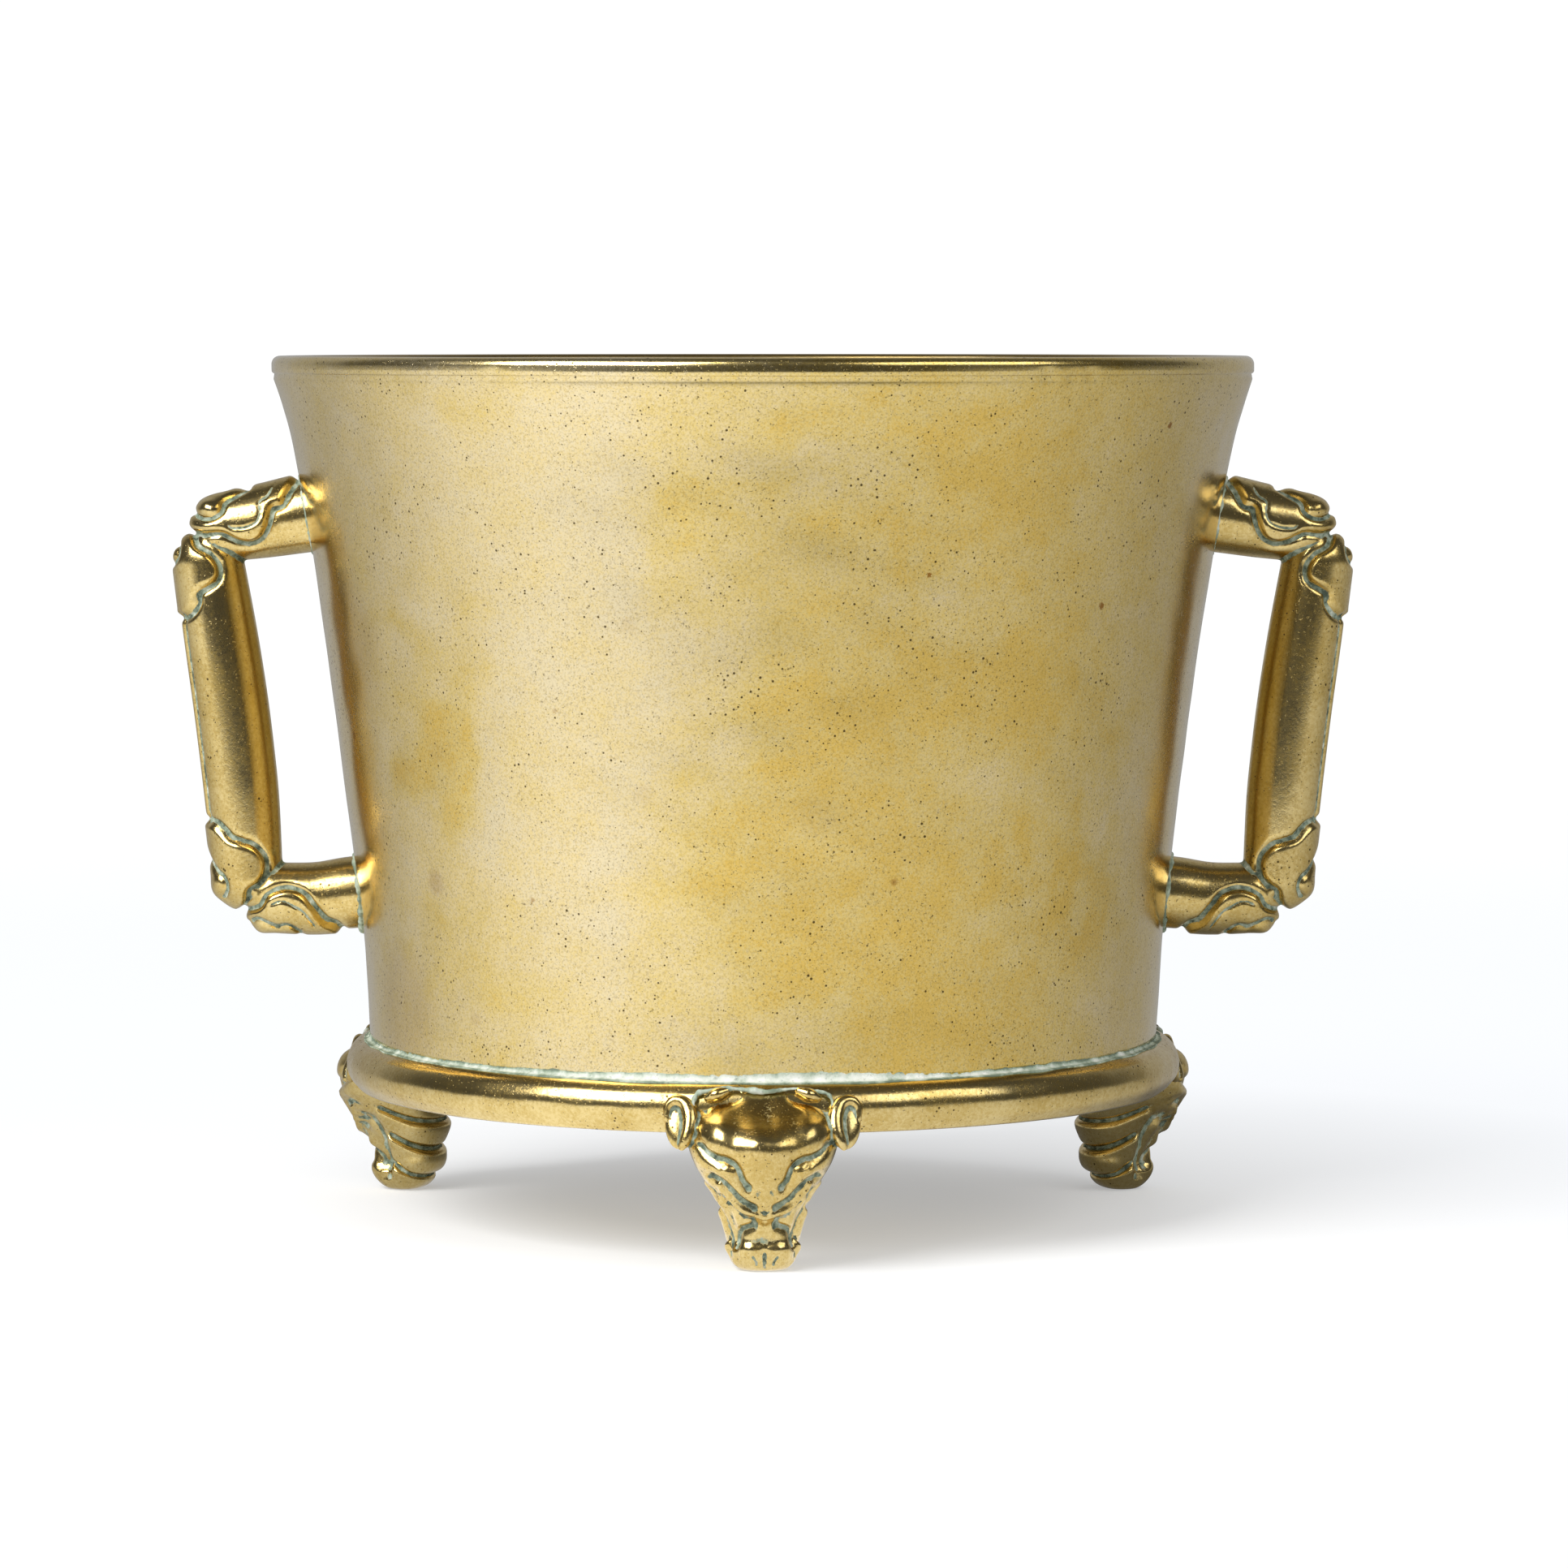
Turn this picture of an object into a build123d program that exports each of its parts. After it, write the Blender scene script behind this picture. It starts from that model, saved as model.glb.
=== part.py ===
from build123d import *

import os
from math import atan2, cos, degrees, hypot, radians, sin, tan

# Footed brass planter pot: a flared cast wall on a ring base, three beast-head feet, two bracket handles.
# Frame: millimetres, +Z up, origin on the floor under the middle of the pot, +X through the right handle.
# The front is -Y, where the single front foot stands.

# ---- driving dimensions -------------------------------------------------------------------------
POT_HEIGHT = 176.0
RIM_RADIUS = 100.3
WAIST_RADIUS = 80.8          # outside of the wall where it stands on the ring
SEAT_HEIGHT = 36.2           # top of the ring, where the wall stands
WALL = 4.2

LIP_HEIGHT = 3.5             # upright band at the mouth
LIP_ROUND = 1.6
LIP_INSIDE_ROUND = 1.2

RING_BOTTOM = 26.5
RING_RADIUS = 85.7
RING_UNDER_RADIUS = 83.3     # where the rounded ring meets its flat underside
FLOOR_BOTTOM = 28.0
FLOOR_TOP = 32.5
REGISTER_HEIGHT = 3.0        # rib on the base that locates the wall from inside
REGISTER_WIDTH = 3.0
REGISTER_GAP = 0.1
UNDER_RECESS_RADIUS = 70.0

FOOT_ANGLES = {"front": 0.0, "rear_left": -112.5, "rear_right": 112.5}   # from -Y, seen from above
SPIGOT_ORBIT = 78.5
SPIGOT_RADIUS = 3.0
SPIGOT_LENGTH = 6.0

ARM_RADIUS = 7.5
TOP_CORNER = (114.4, 139.9)      # x, z where the axes of the upper arm and the grip cross
BOTTOM_CORNER = (105.4, 64.8)
TOP_ARM_DROP = 9.3               # degrees the upper arm falls as it leaves the wall
BOTTOM_ARM_DROP = 3.0
CORNER_BEND = 9.0
PLAQUE_RISE = 0.9                # cloud-head plaques stand this far off the arm
PLAQUE_LENGTH = 17.0
TENON_RADIUS = 3.0
BURR_RADIUS = 6.0
BURR_THICKNESS = 1.5
PEEN_RADIUS = 4.3
PEEN_HEIGHT = 1.5

RUNNING_GAP = 0.05               # between a tenon or spigot and its hole
SOLDER = 0.9                     # leg of a solder fillet


# ---- wall -----------------------------------------------------------------------------------------
def wall_curve(offset=0.0):
    """Points (radius, height) up the flared wall: near upright at the waist, opening towards the mouth."""
    rise = POT_HEIGHT - LIP_HEIGHT - SEAT_HEIGHT
    flare = RIM_RADIUS - WAIST_RADIUS
    shares = [(0.0, 0.0), (0.18, 0.088), (0.53, 0.385), (0.80, 0.66), (0.925, 0.85), (1.0, 1.0)]
    return [(WAIST_RADIUS + flare * out - offset, SEAT_HEIGHT + rise * up) for up, out in shares]


def turned(*edges):
    """The solid made by turning a closed outline in the XZ plane about the Z axis."""
    return revolve(make_face(Wire(list(edges))), Axis.Z)


def at(point):
    return Vector(point[0], 0, point[1])


def line(a, b):
    return Edge.make_line(at(a), at(b))


def spline(points):
    return Edge.make_spline([at(p) for p in points])


def wall_plug(offset=0.0):
    """Everything inside the wall's outer surface moved in by offset, as one solid with its ends run on."""
    curve = wall_curve(offset)
    bottom, top = curve[0], curve[-1]
    low, high = (bottom[0], SEAT_HEIGHT - 4), (top[0], POT_HEIGHT + 4)
    return turned(
        spline(curve),
        line(top, high),
        line(high, (0, high[1])),
        line((0, high[1]), (0, low[1])),
        line((0, low[1]), low),
        line(low, bottom),
    )


def make_pot_body():
    outside, inside = wall_curve(), wall_curve(WALL)
    lip_in = RIM_RADIUS - WALL
    shoulder = (RIM_RADIUS, POT_HEIGHT - LIP_ROUND)
    crest_out = (RIM_RADIUS - LIP_ROUND, POT_HEIGHT)
    crest_in = (lip_in + LIP_INSIDE_ROUND, POT_HEIGHT)
    shoulder_in = (lip_in, POT_HEIGHT - LIP_INSIDE_ROUND)
    half = sin(radians(45))
    round_out = Edge.make_three_point_arc(
        at(shoulder),
        at((crest_out[0] + LIP_ROUND * half, shoulder[1] + LIP_ROUND * half)),
        at(crest_out),
    )
    round_in = Edge.make_three_point_arc(
        at(crest_in),
        at((crest_in[0] - LIP_INSIDE_ROUND * half, shoulder_in[1] + LIP_INSIDE_ROUND * half)),
        at(shoulder_in),
    )
    body = turned(
        spline(outside),
        line(outside[-1], shoulder),
        round_out,
        line(crest_out, crest_in),
        round_in,
        line(shoulder_in, inside[-1]),
        spline(inside[::-1]),
        line(inside[0], outside[0]),
    )
    for side in (-1, 1):
        for arm in handle_arms():
            body -= rod(arm["outer"], arm["inner"], TENON_RADIUS + RUNNING_GAP, side)
    return body


# ---- base -----------------------------------------------------------------------------------------
SEAT_EDGE = (WAIST_RADIUS + 0.2, SEAT_HEIGHT)
UNDER_EDGE = (RING_UNDER_RADIUS, RING_BOTTOM)


def ring_moulding():
    """The rounded outer side of the ring, from the wall's seat down to the flat underside."""
    middle = 0.5 * (SEAT_HEIGHT + RING_BOTTOM)
    return spline([SEAT_EDGE, (RING_RADIUS - 1.0, SEAT_HEIGHT - 1.9), (RING_RADIUS, middle), UNDER_EDGE])


def base_plug():
    """The ring and all the space inside it, with no hollows: the feet are fitted against this."""
    return turned(
        ring_moulding(),
        line(UNDER_EDGE, (0, RING_BOTTOM)),
        line((0, RING_BOTTOM), (0, SEAT_HEIGHT)),
        line((0, SEAT_HEIGHT), SEAT_EDGE),
    )


def make_base_plate():
    """Ring moulding, floor and the rib that locates the wall, in one casting."""
    register_out = WAIST_RADIUS - WALL - REGISTER_GAP
    register_in = register_out - REGISTER_WIDTH
    register_top = SEAT_HEIGHT + REGISTER_HEIGHT
    plate = turned(
        ring_moulding(),
        line(UNDER_EDGE, (UNDER_RECESS_RADIUS, RING_BOTTOM)),
        line((UNDER_RECESS_RADIUS, RING_BOTTOM), (UNDER_RECESS_RADIUS, FLOOR_BOTTOM)),
        line((UNDER_RECESS_RADIUS, FLOOR_BOTTOM), (0, FLOOR_BOTTOM)),
        line((0, FLOOR_BOTTOM), (0, FLOOR_TOP)),
        line((0, FLOOR_TOP), (register_in, FLOOR_TOP)),
        line((register_in, FLOOR_TOP), (register_in, register_top)),
        line((register_in, register_top), (register_out, register_top)),
        line((register_out, register_top), (register_out, SEAT_HEIGHT)),
        line((register_out, SEAT_HEIGHT), SEAT_EDGE),
    )
    for angle in FOOT_ANGLES.values():
        socket = Pos(0, -SPIGOT_ORBIT, RING_BOTTOM) * Cylinder(
            SPIGOT_RADIUS + RUNNING_GAP,
            SPIGOT_LENGTH + 2 * RUNNING_GAP,
            align=(Align.CENTER, Align.CENTER, Align.MIN),
        )
        plate -= Rot(0, 0, angle) * socket
    return plate


# ---- feet -----------------------------------------------------------------------------------------
# One foot, at the front: height, inner radius, outer radius, half width across the face.
FOOT_SECTIONS = [
    (0.0, 77.2, 84.2, 4.4),
    (2.6, 75.4, 86.4, 6.2),
    (6.4, 73.0, 85.4, 7.3),
    (11.5, 71.6, 89.2, 8.6),
    (17.0, 71.4, 93.2, 11.2),
    (23.0, 71.4, 95.4, 13.6),
    (29.0, 71.8, 94.4, 13.8),
    (34.6, 74.0, 87.6, 11.6),
]
EAR_RADIUS = 5.2
EAR_THICKNESS = 6.0
EAR_PLACE = (13.7, 88.4, 26.6)       # out to the side, distance from the pot axis, height


def foot_blank():
    """A beast head tapering to its muzzle, with two ears, before it is fitted to the ring."""
    slices = []
    for height, inner, outer, half_width in FOOT_SECTIONS:
        middle = -0.5 * (inner + outer)
        slices.append(Pos(0, middle, height) * Ellipse(half_width, 0.5 * (outer - inner)))
    head = loft(slices)
    disc = Cylinder(EAR_RADIUS, EAR_THICKNESS)
    ear = Rot(90, 0, 0) * fillet(disc.edges().filter_by(GeomType.CIRCLE), 0.4 * EAR_THICKNESS)
    out, orbit, height = EAR_PLACE
    for side in (-1, 1):
        head += Pos(side * out, -orbit, height) * ear
    return head


def make_foot(angle, blank, base_space):
    """The blank cut to sit under and in front of the ring, with the spigot that goes up into it."""
    spigot = Pos(0, -SPIGOT_ORBIT, RING_BOTTOM - 2) * Cylinder(
        SPIGOT_RADIUS, SPIGOT_LENGTH + 2, align=(Align.CENTER, Align.CENTER, Align.MIN)
    )
    return Rot(0, 0, angle) * ((blank - base_space) + spigot)


def make_foot_solder(angle, blank):
    """Solder under the ring, round the inner half of the foot's top."""
    middle = -0.5 * (FOOT_SECTIONS[5][1] + FOOT_SECTIONS[5][2])
    half_depth = 0.5 * (FOOT_SECTIONS[5][2] - FOOT_SECTIONS[5][1])
    collar = Pos(0, middle, RING_BOTTOM - SOLDER) * extrude(
        Ellipse(FOOT_SECTIONS[5][3] + SOLDER + 0.4, half_depth + SOLDER + 0.4), SOLDER
    )
    under_ring = Pos(0, 0, RING_BOTTOM - 2) * Cylinder(
        RING_UNDER_RADIUS - 0.3, 4, align=(Align.CENTER, Align.CENTER, Align.MIN)
    )
    recess = Pos(0, 0, RING_BOTTOM - 2) * Cylinder(
        UNDER_RECESS_RADIUS + 0.2, 4, align=(Align.CENTER, Align.CENTER, Align.MIN)
    )
    return Rot(0, 0, angle) * (((collar & under_ring) - recess) - blank)


# ---- handles --------------------------------------------------------------------------------------
def handle_arms():
    """The two arms of the right handle: where each axis starts inside the pot and where it ends."""
    arms = []
    for corner, drop, reach in ((TOP_CORNER, TOP_ARM_DROP, 30.0), (BOTTOM_CORNER, BOTTOM_ARM_DROP, 28.0)):
        slope = tan(radians(drop))
        inner = (corner[0] - reach, corner[1] + reach * slope)
        arms.append({"inner": inner, "outer": corner, "drop": drop})
    return arms


def rod(a, b, radius, side=1):
    """A round bar between two points of the XZ plane, on the +X side or mirrored to the -X side."""
    start, end = Vector(side * a[0], 0, a[1]), Vector(side * b[0], 0, b[1])
    length = (end - start).length
    plane = Plane(origin=start, z_dir=end - start)
    return plane * Cylinder(radius, length, align=(Align.CENTER, Align.CENTER, Align.MIN))


def between(a, b, distance):
    """The point that lies distance from a towards b."""
    span = hypot(b[0] - a[0], b[1] - a[1])
    return (a[0] + (b[0] - a[0]) * distance / span, a[1] + (b[1] - a[1]) * distance / span)


def wall_cross(arm, offset):
    """Where an arm's axis crosses the wall surface moved in by offset, found by halving."""
    curve = wall_curve(offset)
    near, far = 0.0, hypot(arm["outer"][0] - arm["inner"][0], arm["outer"][1] - arm["inner"][1])
    for _ in range(40):
        middle = 0.5 * (near + far)
        x, z = between(arm["inner"], arm["outer"], middle)
        for (r0, z0), (r1, z1) in zip(curve, curve[1:]):
            if z0 <= z <= z1:
                radius = r0 + (r1 - r0) * (z - z0) / (z1 - z0)
        near, far = (middle, far) if x < radius else (near, middle)
    return near


def plaque(start, end, outward):
    """A raised half sleeve on the outer side of an arm, with a rounded end at the corner."""
    sleeve = rod(start, end, ARM_RADIUS + PLAQUE_RISE)
    sleeve += Pos(end[0], 0, end[1]) * Sphere(ARM_RADIUS + PLAQUE_RISE)
    tilt = degrees(atan2(outward[1], outward[0]))
    keep = Box(40, 40, 80, align=(Align.MIN, Align.CENTER, Align.CENTER))
    return sleeve & (Pos(start[0], 0, start[1]) * (Rot(0, -tilt, 0) * keep))


def make_handle(side, outer_plug):
    """The right handle, mirrored for the left: two arms and a grip, cloud-head plaques, two peened tenons."""
    arms = handle_arms()
    route = FilletPolyline(
        at(arms[0]["inner"]), at(TOP_CORNER), at(BOTTOM_CORNER), at(arms[1]["inner"]), radius=CORNER_BEND
    )
    profile = Plane(origin=route @ 0, z_dir=route % 0) * Circle(ARM_RADIUS)
    bar = sweep(profile, path=route)
    grip = (TOP_CORNER, BOTTOM_CORNER)
    lean = atan2(TOP_CORNER[0] - BOTTOM_CORNER[0], TOP_CORNER[1] - BOTTOM_CORNER[1])
    out = (cos(lean), -sin(lean))
    for corner, arm, up in ((TOP_CORNER, arms[0], 1), (BOTTOM_CORNER, arms[1], -1)):
        far = grip[1] if corner is grip[0] else grip[0]
        along_grip = between(corner, far, PLAQUE_LENGTH)
        along_arm = between(corner, arm["inner"], PLAQUE_LENGTH)
        drop = radians(arm["drop"])
        bar += plaque(along_grip, between(corner, far, 2.6), out)
        bar += plaque(along_arm, between(corner, arm["inner"], 2.6), (up * sin(drop), up * cos(drop)))
    bar -= outer_plug
    for arm in arms:
        depth = wall_cross(arm, WALL) - BURR_THICKNESS
        peened = between(arm["inner"], arm["outer"], depth)
        bar += rod(peened, between(arm["inner"], arm["outer"], depth + 14), TENON_RADIUS)
        bar += rod(between(arm["inner"], arm["outer"], depth - PEEN_HEIGHT), peened, PEEN_RADIUS)
    return bar if side > 0 else mirror(bar, about=Plane.YZ)


def make_burr(arm, side, void):
    """A round plate under a peened tenon, shaped to the inside of the wall."""
    depth = wall_cross(arm, WALL)
    start = between(arm["inner"], arm["outer"], depth - BURR_THICKNESS)
    end = between(arm["inner"], arm["outer"], depth + 2)
    plate = (rod(start, end, BURR_RADIUS) & void) - rod(start, end, TENON_RADIUS + RUNNING_GAP)
    return plate if side > 0 else mirror(plate, about=Plane.YZ)


def make_arm_solder(arm, side, skin):
    """A band of solder on the wall round the end of an arm."""
    middle = wall_cross(arm, 0.0)
    start = between(arm["inner"], arm["outer"], middle - 4)
    end = between(arm["inner"], arm["outer"], middle + 5)
    band = (rod(start, end, ARM_RADIUS + PLAQUE_RISE + SOLDER) & skin) - rod(start, end, ARM_RADIUS)
    return band if side > 0 else mirror(band, about=Plane.YZ)


# ---- solder under the wall --------------------------------------------------------------------------
def make_base_solder(base, wall):
    """A fillet of solder in the corner where the wall stands on the ring."""
    corner_leg = 1.5
    inner, outer = WAIST_RADIUS - 0.5, WAIST_RADIUS + corner_leg
    band = turned(
        line((inner, SEAT_HEIGHT + corner_leg), (WAIST_RADIUS + 0.3, SEAT_HEIGHT + corner_leg)),
        line((WAIST_RADIUS + 0.3, SEAT_HEIGHT + corner_leg), (outer, SEAT_HEIGHT)),
        line((outer, SEAT_HEIGHT), (outer, SEAT_HEIGHT - 2)),
        line((outer, SEAT_HEIGHT - 2), (inner, SEAT_HEIGHT - 2)),
        line((inner, SEAT_HEIGHT - 2), (inner, SEAT_HEIGHT + corner_leg)),
    )
    return (band - base) - wall


def save(shape, name):
    export_step(shape, f"parts/{name}.step")


os.makedirs("parts", exist_ok=True)

body = make_pot_body()
save(body, "pot_body")

base = make_base_plate()
save(base, "base_plate")
save(make_base_solder(base, wall_plug()), "base_solder_seam")

blank = foot_blank()
base_space = base_plug()
for place, angle in FOOT_ANGLES.items():
    save(make_foot(angle, blank, base_space), f"foot_{place}")
    save(make_foot_solder(angle, blank), f"foot_{place}_solder")

outer_plug = wall_plug()
void = wall_plug(WALL)
skin = wall_plug(-SOLDER) - outer_plug
burrs = []
for side, hand in ((-1, "left"), (1, "right")):
    save(make_handle(side, outer_plug), f"handle_{hand}")
    for arm, level in zip(handle_arms(), ("upper", "lower")):
        save(make_arm_solder(arm, side, skin), f"handle_{hand}_{level}_solder")
        burrs.append(make_burr(arm, side, void))
save(Compound(children=burrs), "handle_burrs")
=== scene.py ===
from math import cos, pi, radians, sin

import bpy
import bmesh
import numpy as np
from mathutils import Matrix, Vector


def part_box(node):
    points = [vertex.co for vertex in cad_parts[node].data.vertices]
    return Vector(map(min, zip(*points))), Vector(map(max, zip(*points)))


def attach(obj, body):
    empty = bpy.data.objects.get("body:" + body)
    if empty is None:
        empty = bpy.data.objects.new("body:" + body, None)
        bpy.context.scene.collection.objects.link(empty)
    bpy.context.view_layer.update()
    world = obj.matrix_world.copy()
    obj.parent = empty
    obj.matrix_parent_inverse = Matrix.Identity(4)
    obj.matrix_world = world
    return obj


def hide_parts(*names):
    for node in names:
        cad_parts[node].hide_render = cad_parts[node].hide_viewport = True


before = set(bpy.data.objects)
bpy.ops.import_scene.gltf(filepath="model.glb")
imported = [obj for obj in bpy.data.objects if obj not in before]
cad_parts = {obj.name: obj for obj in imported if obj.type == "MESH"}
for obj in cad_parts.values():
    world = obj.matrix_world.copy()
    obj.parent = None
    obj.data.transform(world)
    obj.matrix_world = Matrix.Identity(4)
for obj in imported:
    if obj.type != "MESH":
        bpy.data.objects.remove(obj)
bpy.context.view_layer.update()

# A brass pot on three beast-head feet. Shapes are worked out in millimetres and written in metres.
# +Z is up, the single front foot stands at -Y, and the handles are on +X and -X.

toMetres = 0.001
fineRounds, broadRounds = 6, 60      # rounds of smoothing: few bring out grooves, many whole hollows


def nodeBox(name):
    # lowest and highest corner of a CAD node, in millimetres
    low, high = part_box(name)
    return np.array(low) / toMetres, np.array(high) / toMetres


def smoothPath(points, count, closed=False):
    # Catmull-Rom curve through the points: each span blends its four nearest points with cubic weights
    p = np.asarray(points, float)
    if closed:
        p = np.vstack([p[-1], p, p[0], p[1]])
    else:
        p = np.vstack([2 * p[0] - p[1], p, 2 * p[-1] - p[-2]])
    spans = len(p) - 3
    t = np.linspace(0, spans, count, endpoint=not closed)
    i = np.minimum(t.astype(int), spans - 1)
    f = (t - i)[:, None]
    a, b, c, d = p[i], p[i + 1], p[i + 2], p[i + 3]
    return 0.5 * (2 * b + (c - a) * f + (2 * a - 5 * b + 4 * c - d) * f**2 + (3 * b - a - 3 * c + d) * f**3)


def evenPath(points, count, closed=False):
    # the same curve, its points respaced evenly along its length
    fine = smoothPath(points, max(400, 4 * count), closed)
    if closed:
        fine = np.vstack([fine, fine[:1]])
    length = np.concatenate([[0], np.cumsum(np.linalg.norm(np.diff(fine, axis=0), axis=1))])
    want = np.linspace(0, length[-1], count, endpoint=not closed)
    return np.stack([np.interp(want, length, fine[:, k]) for k in range(fine.shape[1])], axis=1)


def smoothStep(x, low, high):
    # 0 below low, 1 above high, an S between them
    t = np.clip((x - low) / (high - low), 0, 1)
    return t * t * (3 - 2 * t)


def bell(x, middle, size):
    # 1 in the middle, dying away over size
    return np.exp(-(((x - middle) / size) ** 2))


def waviness(points, size, seed, waves=18):
    # sum of plane sine waves in random directions, wavelengths near size, spread about -1 to 1
    rng = np.random.default_rng(seed)
    way = rng.normal(size=(waves, 3))
    way /= np.linalg.norm(way, axis=1)[:, None]
    way *= (2 * pi / size) * rng.uniform(0.6, 1.7, waves)[:, None]
    phase = rng.uniform(0, 2 * pi, waves)
    flat = np.asarray(points, float).reshape(-1, 3)
    total = np.zeros(len(flat))
    for w, ph in zip(way, phase):
        total += np.sin(flat @ w + ph)
    return (total * (1.14 / np.sqrt(waves))).reshape(np.shape(points)[:-1])


def addedWaves(points, waves):
    # several wavinesses added up, each with its wavelength, seed and height
    return sum(height * waviness(points, size, seed) for size, seed, height in waves)


def gridFaces(rows, columns, closeRows):
    # four-sided faces between neighbouring points of a grid whose columns close on themselves
    r, c = np.meshgrid(np.arange(rows if closeRows else rows - 1), np.arange(columns), indexing="ij")
    r2, c2 = (r + 1) % rows, (c + 1) % columns
    corners = [r * columns + c, r2 * columns + c, r2 * columns + c2, r * columns + c2]
    return np.stack(corners, axis=-1).reshape(-1, 4)


def outward(points, faces):
    # turns every face round if the closed shape's volume comes out negative
    a, b, c, d = (points[faces[:, k]] for k in range(4))
    volume = np.einsum("ij,ij->i", a, np.cross(b, c)).sum() + np.einsum("ij,ij->i", a, np.cross(c, d)).sum()
    return faces if volume > 0 else faces[:, ::-1]


def shell(grid, closeRows):
    # a grid of points (rows, columns, 3) as a list of points and outward faces
    points = grid.reshape(-1, 3)
    return points, outward(points, gridFaces(grid.shape[0], grid.shape[1], closeRows))


def joined(shells):
    # several shells as one list of points and faces
    points, faces, start = [], [], 0
    for p, f in shells:
        points.append(p)
        faces.append(f + start)
        start += len(p)
    return np.vstack(points), np.vstack(faces)


def turned(profile, around, uneven):
    # a profile of (radius, height) carried round the Z axis; uneven(points) pushes the points outwards
    angle = np.linspace(0, 2 * pi, around, endpoint=False)[:, None]
    r, z = profile[:, 0][None, :], profile[:, 1][None, :]
    grid = np.stack([r * np.cos(angle), r * np.sin(angle), z + 0 * angle], axis=-1)
    way = grid * np.array([1, 1, 0])
    size = np.linalg.norm(way, axis=-1, keepdims=True)
    return grid + uneven(grid)[..., None] * way / np.maximum(size, 1e-9)


def turnedTo(points, degreesRound):
    # points modelled facing +Y, turned to face the front and then round the Z axis
    a = radians(degreesRound)
    x, y = points[:, 0], -points[:, 1]
    return np.stack([x * cos(a) - y * sin(a), x * sin(a) + y * cos(a), points[:, 2]], axis=1)


def makeMesh(name, points, faces, weld=False, layers=None):
    mesh = bpy.data.meshes.new(name)
    mesh.from_pydata((points * toMetres).tolist(), [], faces.tolist())
    for layer, values in (layers or {}).items():
        mesh.attributes.new(layer, "FLOAT", "POINT").data.foreach_set("value", values.astype(np.float32))
    if weld:                                           # closes the poles
        edit = bmesh.new()
        edit.from_mesh(mesh)
        bmesh.ops.remove_doubles(edit, verts=edit.verts, dist=1e-6)
        bmesh.ops.dissolve_degenerate(edit, dist=1e-7, edges=edit.edges)
        edit.to_mesh(mesh)
        edit.free()
    mesh.shade_smooth()
    mesh.update()
    return mesh


def makePiece(name, mesh, material, stands=()):
    # stands are the CAD nodes that the piece takes the place of
    piece = bpy.data.objects.new(name, mesh)
    bpy.context.collection.objects.link(piece)
    mesh.materials.append(material)
    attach(piece, "root")
    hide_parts(*stands)
    return piece


def fused(name, shells, voxel):
    # overlapping closed shells made one skin, given back as points and faces in millimetres
    points, faces = joined(shells)
    rough = bpy.data.objects.new(name, makeMesh(name, points, faces, weld=True))
    bpy.context.collection.objects.link(rough)
    remesh = rough.modifiers.new("fuse", "REMESH")
    remesh.mode = "VOXEL"
    remesh.voxel_size = voxel * toMetres
    remesh.adaptivity = 0
    graph = bpy.context.evaluated_depsgraph_get()
    skin = bpy.data.meshes.new_from_object(rough.evaluated_get(graph))
    bpy.data.objects.remove(rough)
    flat = np.empty(len(skin.vertices) * 3, np.float32)
    skin.vertices.foreach_get("co", flat)
    corner = np.empty(len(skin.loops), np.int32)
    skin.loops.foreach_get("vertex_index", corner)
    bpy.data.meshes.remove(skin)
    return flat.reshape(-1, 3).astype(float) / toMetres, corner.reshape(-1, 4)


def neighbourMean(points, faces, rounds, share=1.0):
    # each round moves every point towards the mean of the points it shares an edge with
    a = np.concatenate([faces[:, k] for k in range(4)])
    b = np.concatenate([faces[:, (k + 1) % 4] for k in range(4)])
    n = len(points)
    degree = np.maximum(np.bincount(a, minlength=n) + np.bincount(b, minlength=n), 1)[:, None]
    moved = points.copy()
    for _ in range(rounds):
        total = [np.bincount(a, moved[b, k], n) + np.bincount(b, moved[a, k], n) for k in range(3)]
        moved += share * (np.stack(total, axis=1) / degree - moved)
    return moved


def pointNormals(points, faces):
    # mean of the face normals round each point
    cross = np.cross(points[faces[:, 2]] - points[faces[:, 0]], points[faces[:, 3]] - points[faces[:, 1]])
    n = len(points)
    total = [sum(np.bincount(faces[:, k], cross[:, axis], n) for k in range(4)) for axis in range(3)]
    total = np.stack(total, axis=1)
    return total / np.maximum(np.linalg.norm(total, axis=1, keepdims=True), 1e-12)


def hollows(points, faces, rounds):
    # how far each point lies below the smoothed surface, in millimetres: grooves and creases are positive
    smooth = neighbourMean(points, faces, rounds)
    return np.einsum("ij,ij->i", smooth - points, pointNormals(points, faces))


def lineDistance(x, y, line):
    # distance of every (x, y) from a polyline, which side of it, and the share of its length there
    best = np.full(x.shape, 1e9)
    side = np.zeros(x.shape)
    share = np.zeros(x.shape)
    steps = np.linalg.norm(np.diff(line, axis=0), axis=1)
    start = np.concatenate([[0], np.cumsum(steps)])
    for k in range(len(line) - 1):
        ax, ay = line[k]
        dx, dy = line[k + 1] - line[k]
        t = np.clip(((x - ax) * dx + (y - ay) * dy) / max(steps[k] ** 2, 1e-12), 0, 1)
        gap = np.hypot(x - ax - t * dx, y - ay - t * dy)
        near = gap < best
        best = np.where(near, gap, best)
        side = np.where(near, np.sign(dx * (y - ay) - dy * (x - ax)), side)
        share = np.where(near, (start[k] + t * steps[k]) / start[-1], share)
    return best, side, share


def chased(x, y, points, width, depth, lip=0.0, lipWidth=1.6, fade=0.12):
    # a chased line: a groove of bell section, and on its left side a raised lip that dies away from it
    gap, side, share = lineDistance(x, y, smoothPath(points, 10 * len(points)))
    ends = smoothStep(share, 0, fade) * smoothStep(1 - share, 0, fade)
    ends = np.maximum(ends, 0.25 * (gap < width))
    groove = -depth * np.exp(-((gap / width) ** 2))
    raised = lip * smoothStep(side * gap, 0.0, 0.7 * width) * np.exp(-np.maximum(side * gap, 0) / lipWidth)
    return (groove + raised) * ends


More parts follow.
